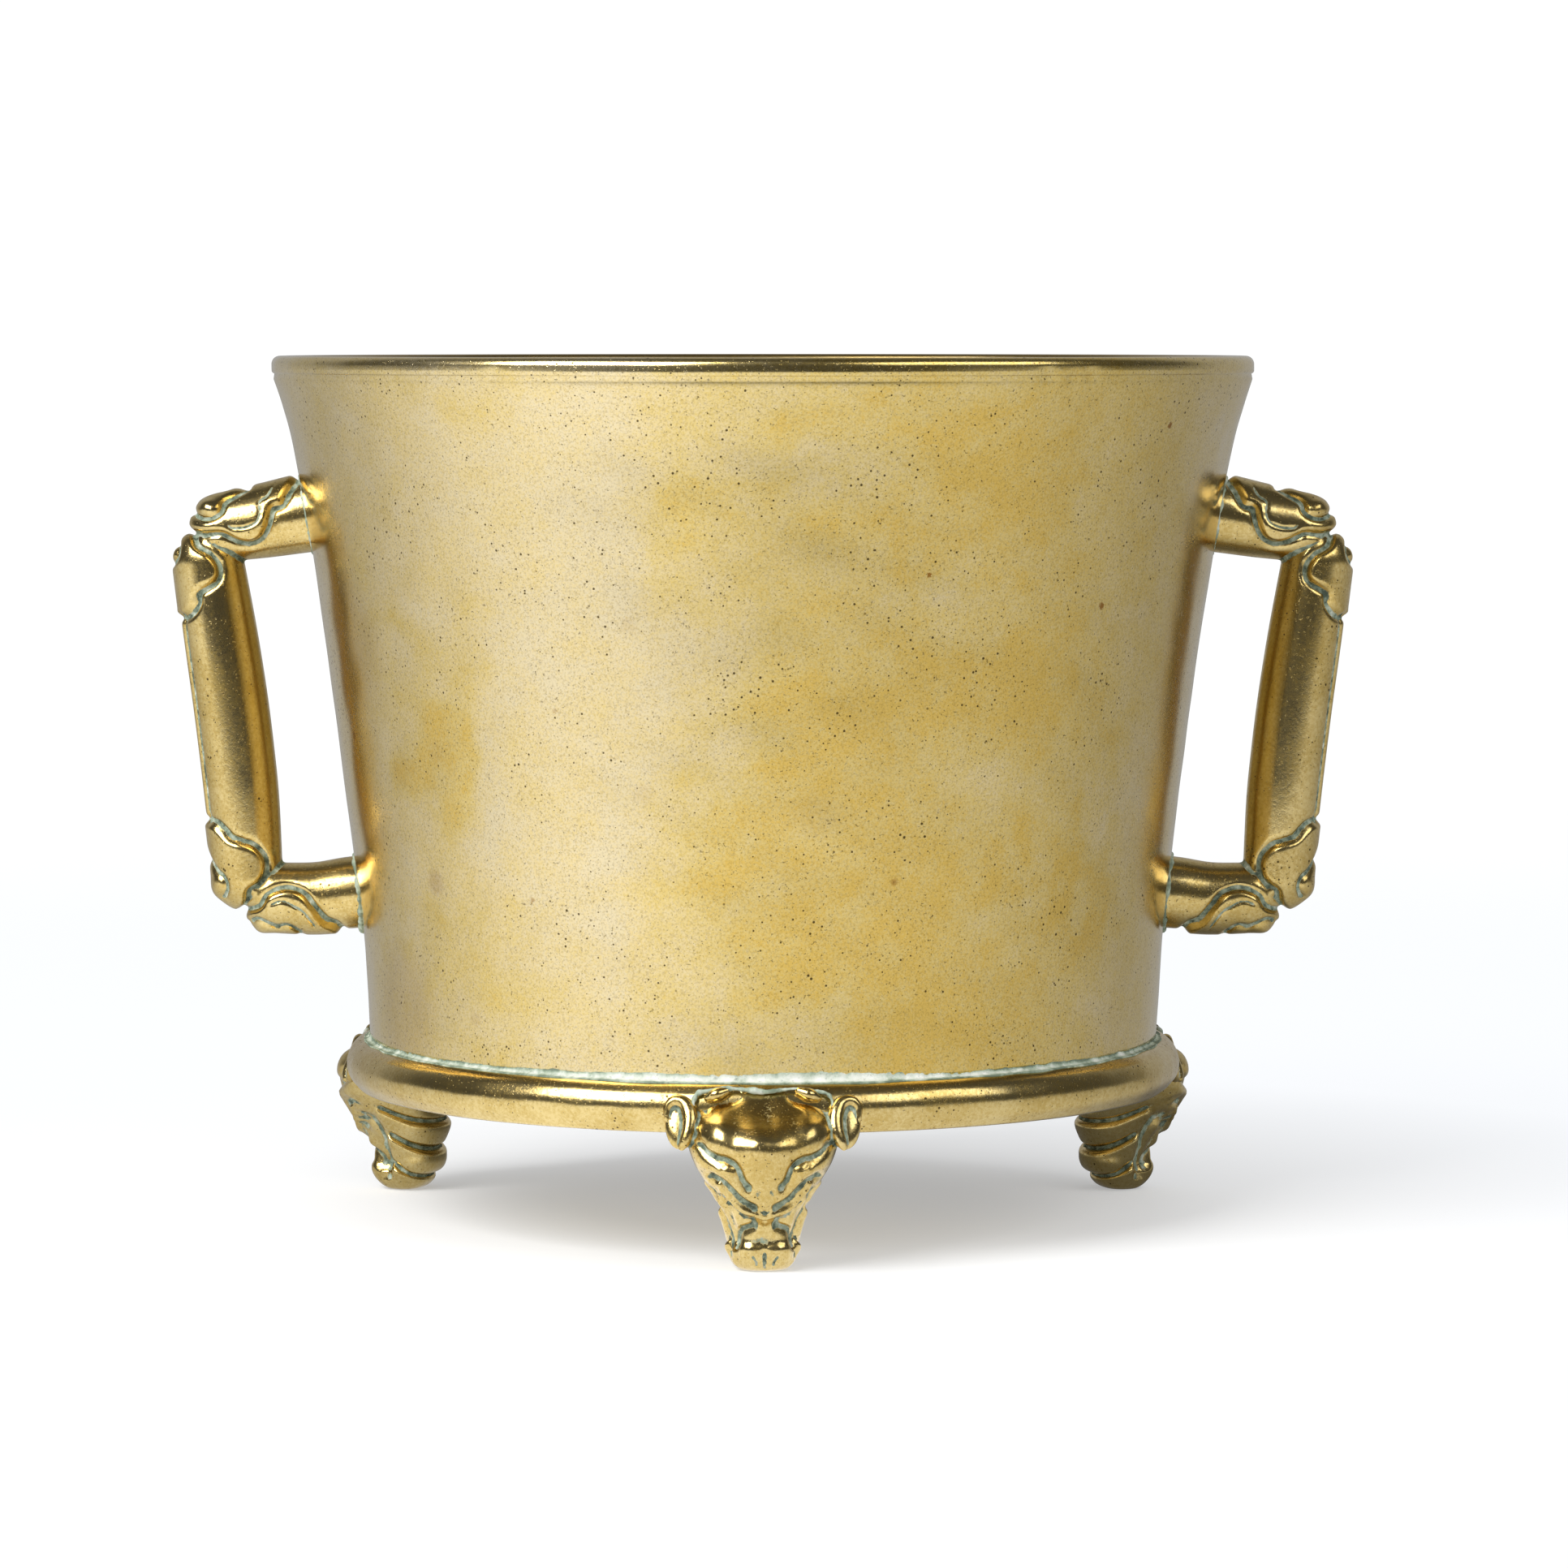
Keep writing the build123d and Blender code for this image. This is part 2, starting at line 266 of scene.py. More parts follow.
def bump(x, y, cx, cy, sx, sy, height):
    # a bell-shaped swelling
    return height * np.exp(-(((x - cx) / sx) ** 2) - ((y - cy) / sy) ** 2)


def worked(x, y, swells, lines):
    # swellings, each as bump takes it, and chased lines, each its points and then what chased takes
    h = np.zeros(x.shape)
    for swell in swells:
        h += bump(x, y, *swell)
    for points, *cut in lines:
        h += chased(x, y, points, *cut)
    return h


potLow, potHigh = nodeBox("pot_body")
pot = {
    "height": potHigh[2],
    "rimRadius": potHigh[0],
    "seat": potLow[2],             # height where the wall stands on the ring
    "waistShare": 0.8056,          # waist radius as a share of the rim radius
    "lipHeight": 3.6,
    "wall": 4.2,
    "lipEdge": [(-0.25, 0.12), (-0.02, 0.45), (0, 1.1)],     # under the lip, from the rim and the tuck
    "lipRounds": (1.7, 1.2),       # rounding of the lip outside and inside
    "tuck": 0.55,                  # the wall tucks in under the lip's crisp lower edge
    "insideFrom": 2.4,             # this far in from the outer face the wall was never polished
    "around": 540,
    "up": (118, 30),               # points up the outside and down the inside
    "waves": [(46, 3, 0.10), (17, 4, 0.035)],                # hand finishing leaves the wall this uneven
    "flare": [(0, 0), (0.148, 0.066), (0.348, 0.230), (0.530, 0.384), (0.713, 0.559),
              (0.877, 0.757), (0.950, 0.886), (1, 1)],       # share of the rise, share of the opening
    "nicks": [(33.0, 172.0, 1.5, 0.30), (36.5, 171.6, 1.1, 0.38), (39.0, 172.2, 1.3, 0.25),
              (-31.0, 172.3, 1.2, 0.20)],                    # azimuth, height, radius, depth
}


def wallProfile(offset=0.0):
    # a concave flare: almost upright at the waist, opening fast towards the mouth
    rise = pot["height"] - pot["lipHeight"] - pot["seat"]
    waist = pot["rimRadius"] * pot["waistShare"]
    flare = pot["rimRadius"] - waist
    return np.array([(waist + flare * out - offset, pot["seat"] + rise * up) for up, out in pot["flare"]])


def wallRadius(z):
    profile = evenPath(wallProfile(), 200)
    return np.interp(z, profile[:, 1], profile[:, 0])


def arc(cx, cz, radius, fromAngle, toAngle, count=9):
    a = np.radians(np.linspace(fromAngle, toAngle, count))
    return np.stack([cx + radius * np.cos(a), cz + radius * np.sin(a)], axis=1)


wallPatinaAndPaintedLight = {
    # azimuth from the front in degrees, height, half sizes in degrees and mm, strength: + pale, - ochre
    "clouds": [
        # the first three clouds, full height at -24, -64 and 70 degrees, are painted light: a pale painted
        # highlight band where the key light's sheen falls, and painted reflections of the white backdrop
        # near the sides
        (-24, 100, 21, 400, 0.56), (-64, 100, 16, 400, 0.32), (70, 100, 13, 400, 0.30),
        (15, 108, 16, 12, -0.24), (38, 116, 9, 10, -0.22), (10, 66, 22, 22, -0.26),
        (-5, 90, 9, 12, -0.22), (21, 164, 20, 5, -0.16), (12, 143, 6, 5, -0.20), (-4, 150, 6, 6, -0.20),
        (-45, 95, 6.5, 14, -0.44), (-54, 121, 5, 8, -0.30), (50, 71, 4, 18, -0.26),
        (37, 79, 10, 15, 0.22), (37, 77, 3.6, 5, -0.34), (38, 148, 9, 8, -0.10), (-47, 58, 9, 8, -0.20),
        (31, 50, 14, 10, -0.10), (-48, 154, 14, 14, 0.08), (-33, 110, 8, 10, 0.10), (19, 130, 9, 7, 0.20),
        (6.5, 156, 6, 5, 0.16), (58, 97, 7, 16, 0.28), (150, 100, 60, 400, 0.24),
        (-150, 100, 60, 400, 0.24),
    ],
    "middle": 0.28,
    "tornAcross": [(24, 51, 3.6), (8, 52, 1.6)],             # degrees
    "tornUp": [(24, 53, 5.0), (8, 54, 2.2)],
    "mottle": [(42, 55, 0.08), (13, 56, 0.06), (5, 57, 0.035)],
    "mottleBehind": [(42, 55, 0.05), (13, 56, 0.03)],        # added on the back
    "behind": (60, 95),                                      # degrees where the back begins
    # azimuth, height, radius, strength: small brown stains
    "stains": [
        (-50.3, 72.5, 2.7, 0.26), (-47.5, 98.6, 2.4, 0.10), (-15.4, 92.3, 2.2, 0.08),
        (-16.5, 125.0, 1.8, 0.10), (55.1, 162.5, 0.8, 0.95), (46.7, 127.5, 0.8, 0.90),
        (20.3, 134.5, 0.55, 0.90), (-27.0, 108.0, 0.6, 0.35), (-32.5, 70.5, 0.6, 0.45),
        (6.8, 88.3, 5.0, 0.06), (17.5, 75.0, 0.8, 0.55), (-70.0, 100.0, 1.0, 0.6),
        (-44.0, 46.0, 1.6, 0.14), (140.0, 90.0, 3.0, 0.4), (-150.0, 120.0, 2.2, 0.4),
        (100.0, 60.0, 1.8, 0.5), (-66.0, 118.0, 14.0, 0.14), (-62.0, 46.0, 13.0, 0.16),
        (-68.0, 84.0, 11.0, 0.12),
    ],
}


def patinaAndPaintedLightTone(points):
    # 0 is ochre, 1 is pale grey-green: soft clouds laid on one by one, their edges torn by a random shift
    # the pale end of this tone is partly painted light: the full-height clouds paint a highlight band and
    # reflections of the backdrop
    azimuth = np.degrees(np.arctan2(points[:, 0], -points[:, 1]))
    height = points[:, 2]
    azimuth = azimuth + addedWaves(points, wallPatinaAndPaintedLight["tornAcross"])
    height = height + addedWaves(points, wallPatinaAndPaintedLight["tornUp"])
    tone = np.full(len(points), wallPatinaAndPaintedLight["middle"])
    for cloud in wallPatinaAndPaintedLight["clouds"]:
        tone += bump(azimuth, height, *cloud)
    behind = smoothStep(np.abs(azimuth), *wallPatinaAndPaintedLight["behind"])
    tone += addedWaves(points, wallPatinaAndPaintedLight["mottle"]) + behind * addedWaves(points, wallPatinaAndPaintedLight["mottleBehind"])
    return np.clip(tone, 0, 1)


def makeWall(material):
    top, rim = pot["height"], pot["rimRadius"]
    rowsOut, rowsIn = pot["up"]
    outside = evenPath(wallProfile(), rowsOut)
    outside[-1, 0] = rim - pot["tuck"]
    outer, inner = pot["lipRounds"]
    lip = np.vstack([
        np.array(pot["lipEdge"]) + (rim, outside[-1, 1]),
        arc(rim - outer, top - outer, outer, 0, 90),
        arc(rim - pot["wall"] + inner, top - inner, inner, 90, 180),
    ])
    inside = evenPath(wallProfile(pot["wall"])[::-1], rowsIn)
    foot = np.array([[inside[-1, 0] + 1.5, inside[-1, 1]], [outside[0, 0] - 1.2, outside[0, 1]]])
    profile = np.vstack([outside, lip, inside, foot])

    def uneven(grid):
        push = addedWaves(grid, pot["waves"])
        across = np.degrees(np.arctan2(grid[..., 0], -grid[..., 1])) * (pi * rim / 180)
        for azimuth, height, radius, depth in pot["nicks"]:
            push -= bump(across, grid[..., 2], azimuth * pi * rim / 180, height, radius, radius, depth)
        return push

    points, faces = shell(turned(profile, pot["around"], uneven), True)
    skin = np.interp(points[:, 2], outside[:, 1], outside[:, 0]) - np.hypot(points[:, 0], points[:, 1])
    layers = {"inner": (skin > pot["insideFrom"]).astype(float), "tone": patinaAndPaintedLightTone(points)}
    mesh = makeMesh("potWall", points, faces, layers=layers)
    makePiece("potWall", mesh, material, ["pot_body"])
    print("wall made")


baseLow, baseHigh = nodeBox("base_plate")
base = {
    "ringRadius": baseHigh[0],
    "ringBottom": baseLow[2],
    "underRadius": 83.3,
    "recessRadius": 70.0,
    "floorUnder": 28.0,
    "floorTop": 32.5,
    "rib": (73.5, 76.4, 39.2),     # inner radius, outer radius, top of the locating rib
    # rings of points on the flat floor: this far from the recess's edge and from the axis, and from the rib
    "floorRings": (20, 12),
    "edge": 0.4,                   # small roundings of the recess and the rib
    "fillet": 1.2,                 # between floor and rib
    "overlap": 0.05,               # the ring stops this far under the wall
    "waves": [(30, 8, 0.10), (9, 9, 0.03)],
    "around": 720,
}


def makeBase(material):
    middle = 0.5 * (pot["seat"] + base["ringBottom"])
    bead = smoothPath([
        (pot["rimRadius"] * pot["waistShare"] - 0.6, pot["seat"] - base["overlap"]),
        (base["ringRadius"] - 3.0, pot["seat"] - 0.35),
        (base["ringRadius"] - 1.0, pot["seat"] - 1.9),
        (base["ringRadius"], middle + 0.4),
        (base["ringRadius"] - 0.35, middle - 2.3),
        (base["underRadius"] + 0.5, base["ringBottom"] + 0.45),
    ], 40)
    ribIn, ribOut, ribTop = base["rib"]
    recess, edge, fillet = base["recessRadius"], base["edge"], base["fillet"]
    underRing, floorRing = base["floorRings"]
    rest = np.array([
        (base["underRadius"], base["ringBottom"]),
        (recess + edge, base["ringBottom"]),
        (recess, base["ringBottom"] + edge),
        (recess, base["floorUnder"]),
        (recess - underRing, base["floorUnder"]),
        (underRing, base["floorUnder"]),
        (0, base["floorUnder"]),
        (0, base["floorTop"]),
        (underRing, base["floorTop"]),
        (ribIn - floorRing, base["floorTop"]),
        (ribIn - fillet, base["floorTop"]),
        (ribIn, base["floorTop"] + fillet),
        (ribIn, ribTop - edge),
        (ribIn + edge, ribTop),
        (ribOut - edge, ribTop),
        (ribOut, ribTop - edge),
        (ribOut, pot["seat"] - base["overlap"]),
    ])
    profile = np.vstack([bead, rest])

    def uneven(grid):
        outer = np.hypot(grid[..., 0], grid[..., 1]) > ribOut
        return outer * addedWaves(grid, base["waves"])

    points, faces = shell(turned(profile, base["around"], uneven), True)
    mesh = makeMesh("baseRing", points, faces, weld=True)
    makePiece("baseRing", mesh, material, ["base_plate"])
    print("base made")


def beadAlong(path, radius, ringCount=12):
    # a closed tube round a closed path; radius is one value for each point of the path
    ahead = np.roll(path, -1, axis=0) - np.roll(path, 1, axis=0)
    ahead /= np.linalg.norm(ahead, axis=1, keepdims=True)
    across = np.cross(ahead, np.array([0.01, 0.01, 1.0]))
    across /= np.linalg.norm(across, axis=1, keepdims=True)
    lift = np.cross(across, ahead)
    a = np.linspace(0, 2 * pi, ringCount, endpoint=False)
    ring = across[:, None] * np.cos(a)[None, :, None] + lift[:, None] * np.sin(a)[None, :, None]
    return path[:, None] + ring * radius[:, None, None]


seam = {
    "around": 1500,
    "tall": 0.72,
    "tallSwells": [(4, 36, 0.95), (8, 12, 0.75)],            # azimuth, spread in degrees, extra height
    "tallWaves": [(26, 21, 0.20), (7, 22, 0.10), (2.4, 25, 0.06)],
    "lowest": 0.5,
    "wide": 1.15,
    "wideSwell": (0, 40, 0.35),
    "wideWaves": [(12, 23, 0.20)],
    "grain": [(2.2, 24, 0.06), (0.9, 26, 0.03)],
    "sag": 0.25,                   # the fillet's face is hollow
    "white": (4, 45),              # azimuth and spread of the white front, green elsewhere
    "greenAway": 0.7,
}


def makeBaseSeam(material):
    # solder fillet in the corner between wall and ring: tallest at the front, low at the sides and back
    a = np.linspace(0, 2 * pi, seam["around"], endpoint=False)
    waist, seat = pot["rimRadius"] * pot["waistShare"], pot["seat"]
    place = np.stack([waist * np.cos(a), waist * np.sin(a), 0 * a], axis=1)
    azimuth = np.degrees(np.arctan2(place[:, 0], -place[:, 1]))
    tall = seam["tall"] + addedWaves(place, seam["tallWaves"])
    for middle, spread, extra in seam["tallSwells"]:
        tall = tall + extra * bell(azimuth, middle, spread)
    tall = np.maximum(tall, seam["lowest"])
    middle, spread, extra = seam["wideSwell"]
    wide = seam["wide"] + extra * bell(azimuth, middle, spread) + addedWaves(place, seam["wideWaves"])
    grain = addedWaves(place, seam["grain"])
    away = seam["greenAway"] * (1 - bell(azimuth, *seam["white"]))
    flat, full = 0 * a, 1 + 0 * a
    # radius, height and greenness of each row of points, from inside the wall out over the fillet
    rows = [
        (waist - 1.0 + flat, seat - 0.6 + flat, full),
        (waist - 1.0 + flat, seat + 0.5 * tall, full),
        (waist + 0.02 + flat, seat + tall, full),
    ]
    for share in np.linspace(0.1, 0.9, 9):
        sag, uneven = seam["sag"] * sin(pi * share), grain * sin(pi * share)
        out = waist + 0.10 + (share - sag) * wide + uneven
        rows.append((out, seat + (1 - share - sag) * tall + uneven, abs(2 * share - 1) ** 2 + away))
    rows.append((waist + 0.15 + wide, seat + 0.02 + flat, full))
    rows.append((waist + 0.10 + wide, seat - 0.5 + flat, full))
    grid = np.stack([np.stack([r * np.cos(a), r * np.sin(a), z], axis=-1) for r, z, _ in rows], axis=1)
    edge = np.stack([e for _, _, e in rows], axis=1).reshape(-1)
    points, faces = shell(grid, True)
    mesh = makeMesh("baseSeam", points, faces, layers={"edge": edge})
    makePiece("baseSeam", mesh, material, ["base_solder_seam"])
    print("seam made")


armSolder = {
    # a point on the arm's axis, how far it falls for each mm outwards, arm radius, bead radius
    "upper": ((95.0, 143.2), 0.16, 8.1, 0.40),
    "lower": ((85.0, 65.6), 0.10, 7.7, 0.46),
}


def makeArmSolder(side, level, material):
    # where a round arm meets the flared wall: each ray along the arm is run back to the wall's surface
    centre, slope, radius, thick = armSolder[level]
    a = np.linspace(0, 2 * pi, 260, endpoint=False)
    y = radius * np.cos(a)
    z = centre[1] + radius * np.sin(a)
    x = np.full(len(a), centre[0])
    for _ in range(6):
        x = np.sqrt(wallRadius(z - slope * (x - centre[0])) ** 2 - y**2)
    path = np.stack([side * x, y, z - slope * (x - centre[0])], axis=1)
    size = thick * (1.0 + 0.30 * waviness(path, 5, 31) + 0.2 * waviness(path, 1.6, 33))
    if level == "lower":
        size *= 1 + 0.7 * smoothStep(-np.sin(a), 0.2, 1.0)     # the solder ran down and pooled
    points, faces = shell(beadAlong(path, np.maximum(size, 0.18)), True)
    hand = "left" if side < 0 else "right"
    mesh = makeMesh("armSolder." + hand + "." + level, points, faces,
                    layers={"edge": np.full(len(points), 0.8)})
    makePiece("armSolder." + hand + "." + level, mesh, material,
              [f"handle_{hand}_{level}_solder"])


def ball(centre, size, rows=60, columns=90):
    # a sphere stretched to size
    v = np.linspace(0, pi, rows)[:, None]
    a = np.linspace(0, 2 * pi, columns, endpoint=False)[None, :]
    unit = np.stack([np.sin(v) * np.cos(a), np.sin(v) * np.sin(a), np.cos(v) + 0 * a], axis=-1)
    return shell(unit * np.array(size) + np.array(centre), False)


def bar(route, radii, relief=None, along=150, roundStart=True, around=220):
    # a round bar along a route that keeps near an XZ plane: rounded ends are half balls, others are flat;
    # relief(x, y, z) then moves the surface along its normal
    path = evenPath(np.hstack([np.array(route, float), np.array(radii)[:, None]]), along)
    centre, radius = path[:, :3], path[:, 3]
    ahead = np.gradient(centre, axis=0)
    ahead /= np.linalg.norm(ahead, axis=1, keepdims=True)
    tilt = np.linspace(0, pi / 2, 46)[1:, None]
    for rounded, index, way in ((True, -1, 1), (roundStart, 0, -1)):
        if rounded:
            capCentre = centre[index] + way * ahead[index] * radius[index] * np.sin(tilt)
            capRadius = radius[index] * np.cos(tilt[:, 0])
        else:
            capCentre = np.repeat(centre[index][None], 2, axis=0)
            capRadius = np.array([0.5, 0.0]) * radius[index]
        capAhead = np.repeat(ahead[index][None], len(capRadius), axis=0)
        centre = np.vstack([centre, capCentre] if way > 0 else [capCentre[::-1], centre])
        radius = np.concatenate([radius, capRadius] if way > 0 else [capRadius[::-1], radius])
        ahead = np.vstack([ahead, capAhead] if way > 0 else [capAhead, ahead])
    across = np.cross(ahead, np.array([0.0, 1.0, 0.0]))
    across /= np.linalg.norm(across, axis=1, keepdims=True)
    lift = np.cross(across, ahead)
    a = np.linspace(0, 2 * pi, around, endpoint=False)[None, :, None]
    ring = across[:, None] * np.cos(a) + lift[:, None] * np.sin(a)
    grid = centre[:, None] + radius[:, None, None] * ring
    if relief is not None:
        points, faces = shell(grid, False)
        way = pointNormals(points, faces).reshape(grid.shape)
        grid = grid + relief(grid[..., 0], grid[..., 1], grid[..., 2])[..., None] * way
    return shell(grid, False)


foot = {
    # height, inner radius, outer radius, half width
    "sections": [
        (0.0, 79.2, 84.2, 3.2), (0.25, 78.2, 85.3, 4.6), (1.3, 77.2, 86.5, 5.7), (2.6, 76.4, 87.1, 6.3),
        (4.2, 75.0, 87.2, 6.9), (5.6, 74.7, 87.1, 7.0), (6.8, 74.5, 87.4, 7.2), (8.4, 74.3, 88.4, 7.5),
        (10.2, 74.1, 89.8, 7.9), (13.7, 73.5, 92.4, 9.2), (17.0, 73.4, 94.2, 10.9),
        (20.4, 73.2, 95.0, 12.9), (24.0, 73.2, 95.0, 14.3), (26.0, 73.3, 94.5, 14.3),
        (28.0, 73.4, 92.9, 14.1), (29.5, 73.6, 91.0, 13.9), (31.0, 73.8, 89.0, 13.5),
        (33.6, 74.8, 86.0, 12.6), (35.2, 76.4, 84.2, 10.9), (35.9, 78.4, 82.4, 7.0),
    ],
    "around": 420,
    "up": 330,
    "voxel": 0.26,
    "smooth": 2,                 # rounds of smoothing after the shells are fused
    "square": 2.35,              # power of the rounded-square section
    "faceMiddle": 0.4,           # the face was modelled a little off the middle
    # swellings: across, height, half sizes, how far they stand out or in
    "middleSwells": [
        (0.4, 25.4, 4.4, 3.8, 1.25),             # middle of the forehead
        (0.3, 10.6, 1.3, 0.8, 0.3),              # bridge of the nose
        (1.3, 27.2, 1.9, 3.4, -0.34),            # shallow dip down the forehead
        (0.3, 2.6, 0.6, 1.7, -0.6),              # parting under the nose
    ],
    "sideSwells": [
        (8.3, 28.2, 3.7, 3.0, 1.30),             # boss over each eye
        (5.9, 27.4, 1.9, 3.6, -0.45),            # dip beside it
        (7.6, 20.8, 2.0, 1.1, 0.40),             # closed lid
        (2.7, 4.5, 2.7, 2.6, 1.50),              # nose lobe
    ],
    # chased lines on each side: points, width, depth, then the raised lip, its width and the fading ends
    "sideLines": [
        ([(13.3, 26.9), (12.0, 24.3), (9.6, 23.0), (7.7, 22.6), (5.7, 21.2), (4.6, 18.6), (3.4, 17.1),
          (1.7, 16.3)],
         1.15, 1.35, 0.30, 1.4),                                                             # brow
        ([(9.3, 22.0), (8.0, 20.6), (6.0, 19.7)], 0.20, 0.28),                               # lids
        ([(8.6, 22.0), (7.2, 20.9), (6.0, 20.4)], 0.20, 0.28),
        ([(12.0, 19.8), (10.2, 18.9), (8.4, 17.9), (6.7, 16.3), (5.2, 14.7), (3.2, 13.3), (0.8, 12.2)],
         1.05, 1.20, 0.25, 1.6),                                                             # cheek
        # a ridge over the muzzle: its depth is negative
        ([(9.3, 18.0), (8.2, 16.2), (6.6, 14.3), (4.2, 12.5), (0.0, 11.4)], 0.45, -0.55, 0, 1, 0.02),
        # under the cheek
        ([(8.0, 14.4), (6.2, 12.3), (4.4, 10.9), (2.4, 10.2), (1.4, 10.1)], 0.90, 0.95),
        ([(9.2, 16.4), (7.9, 12.8), (6.9, 9.5), (6.2, 6.2), (5.6, 3.4)], 1.15, 1.10),        # jaw
        ([(5.5, 4.8), (5.3, 6.6), (4.5, 8.2), (2.8, 8.9), (0.9, 9.2)], 0.85, 1.05),          # nostril
        ([(2.3, 3.6), (1.7, 2.4), (1.5, 1.3)], 0.30, 0.50),                                  # chin
        # under the horn
        ([(12.8, 31.2), (10.8, 32.7), (8.2, 33.5), (5.9, 34.2), (4.6, 35.4)], 1.30, 0.90),
    ],
    # depth, middle, half width, and the heights it deepens over
    "parting": (0.25, 0.8, 1.9, 27.5, 31.5),
    # on the flank, by radius and height
    "flankSwells": [(86.4, 13.2, 1.1, 1.3, 0.50)],
    "flankLines": [([(89.5, 16.6), (87.4, 16.0), (84.8, 15.2), (83.3, 11.8), (83.0, 7.0), (82.8, 1.2)],
                    1.20, 1.10)],
    "folds": [((83.4, 18.4), (70.5, 14.0), 0.9), ((82.2, 12.6), (70.5, 7.6), 1.1),
              ((82.2, 6.4), (73.0, 1.7), 1.0)],
    "backRolls": [(0.5, 12.4, 2.6), (0.7, 5.6, 1.9)],        # height out, height up, spread
    "ear": ((15.9, 84.9, 28.8), (3.0, 1.8, 4.9)),            # middle and half sizes
    "earLean": 0.42,                                         # leans back with the head, mm for each mm up
    "earRim": [(18.5, 85.2, 29.8), (18.3, 84.6, 31.9), (16.8, 84.5, 33.1), (14.9, 85.0, 32.4),
               (14.0, 86.4, 30.2),
               (14.2, 87.6, 27.7), (15.0, 88.2, 25.6), (15.6, 88.2, 24.6)],
    "earRimRadii": [0.60, 0.90, 1.20, 1.45, 1.50, 1.35, 1.10, 0.75],
    "horn": [(10.5, 85.0, 33.7), (8.9, 85.4, 34.4), (7.1, 84.9, 35.0)],
    "hornRadii": [0.90, 1.30, 0.90],
}


def footFront(x, z):
    # the beast's face, as heights over the head's plain surface
    h = worked(x, z, foot["middleSwells"], [])
    for side in (-1, 1):
        h += worked(side * (x - foot["faceMiddle"]), z, foot["sideSwells"], foot["sideLines"])
    depth, middle, half, low, high = foot["parting"]
    return h - depth * bell(x, middle, half) * smoothStep(z, low, high)


def footSide(r, z, nearBack):
    # hook line beside the muzzle, and the folds that wrap round the back of the leg
    h = worked(r, z, foot["flankSwells"], foot["flankLines"])
    for start, end, size in foot["folds"]:
        # the middle of each fold hangs a little
        middle = (0.5 * (start[0] + end[0]), 0.5 * (start[1] + end[1]) - 0.6)
        h += chased(r, z, [start, middle, end], 0.66, 1.05 * size, 0.85 * size, 3.0, 0.08)
    return h + nearBack * sum(out * bell(z, up, spread) for out, up, spread in foot["backRolls"])


def footBody():
    # rounded-square sections stacked by height, then the relief pushed out square to the surface
    z, inner, outer, half = evenPath(foot["sections"], foot["up"]).T
    depth, middle = 0.5 * (outer - inner), 0.5 * (outer + inner)
    a = np.linspace(0, 2 * pi, foot["around"], endpoint=False)[None, :]
    power = 2 / foot["square"]
    x = half[:, None] * np.sign(np.cos(a)) * np.abs(np.cos(a)) ** power
    r = middle[:, None] + depth[:, None] * np.sign(np.sin(a)) * np.abs(np.sin(a)) ** power
    zz = z[:, None] + 0 * x
    nx, nr = np.cos(a) / half[:, None], np.sin(a) / depth[:, None]
    size = np.hypot(nx, nr)
    nx, nr = nx / size, nr / size
    lean = np.gradient(outer, z)[:, None] * (nr > 0) * nr + np.gradient(half, z)[:, None] * np.abs(nx) * 0.5
    nz = -np.clip(lean, -2.5, 1.2)
    size = np.sqrt(nx**2 + nr**2 + nz**2)
    front = smoothStep(nr, -0.05, 0.35)
    side = smoothStep(np.abs(nx), 0.25, 0.7) * smoothStep(0.75 - nr, 0.0, 0.3)
    back = smoothStep(-nr, 0.1, 0.6)
    h = footFront(x, zz) * front
    h += footSide(r, zz, back) * np.maximum(side, back) * smoothStep(25 - zz, 0, 6)
    h *= smoothStep(zz, 0.0, 0.9) * smoothStep(35.9 - zz, 0, 1.2)
    grid = np.stack([x + h * nx / size, r + h * nr / size, zz + h * nz / size], axis=-1)
    caps = [np.broadcast_to(row.mean(axis=0), (1,) + row.shape) for row in (grid[0], grid[-1])]
    return shell(np.vstack([caps[0], grid, caps[1]]), False)


footTurns = {"foot_front": 0.0, "foot_rear_left": -112.5, "foot_rear_right": 112.5}


def makeFeet(material):
    shells = [footBody()]
    for s in (-1, 1):
        flip = np.array([s, 1, 1])
        middle, size = foot["ear"]
        leaf, leafFaces = ball(np.array(middle) * flip, size)
        leaf[:, 1] -= foot["earLean"] * (leaf[:, 2] - middle[2])
        shells.append((leaf, leafFaces))
        shells.append(bar(np.array(foot["earRim"]) * flip, foot["earRimRadii"], along=90, around=60))
        shells.append(bar(np.array(foot["horn"]) * flip, foot["hornRadii"], along=60, around=60))
    points, faces = fused("footRough", shells, foot["voxel"])
    points = neighbourMean(points, faces, foot["smooth"], 0.5)
    points[:, 2] = np.maximum(points[:, 2], 0.0)
    faces = outward(points, faces)
    layers = {"hollow": hollows(points, faces, fineRounds),
              "hollowBroad": hollows(points, faces, broadRounds)}
    for name, turn in footTurns.items():
        placed = turnedTo(points, turn)
        mesh = makeMesh(name + ".beast", placed, outward(placed, faces), layers=layers)
        makePiece(name + ".beast", mesh, material, [name])
    print("feet made", len(points))


footSeam = [
    # over the head against the ring, then back under the floor
    (-12.8, 84.9, 34.3), (-10.2, 84.9, 35.1), (-6.4, 85.0, 35.5), (-2.4, 85.1, 35.2), (0.4, 85.2, 34.9),
    (3.2, 85.1, 35.2), (6.6, 85.0, 35.5), (10.2, 84.9, 35.0), (12.8, 85.0, 34.2), (13.6, 86.0, 31.2),
    (13.2, 84.4, 26.7), (10.8, 76.6, 26.4), (6.0, 72.4, 26.4), (0.0, 71.2, 26.4), (-6.0, 72.4, 26.4),
    (-10.8, 76.6, 26.4), (-13.2, 84.4, 26.7), (-13.6, 86.0, 31.2),
]


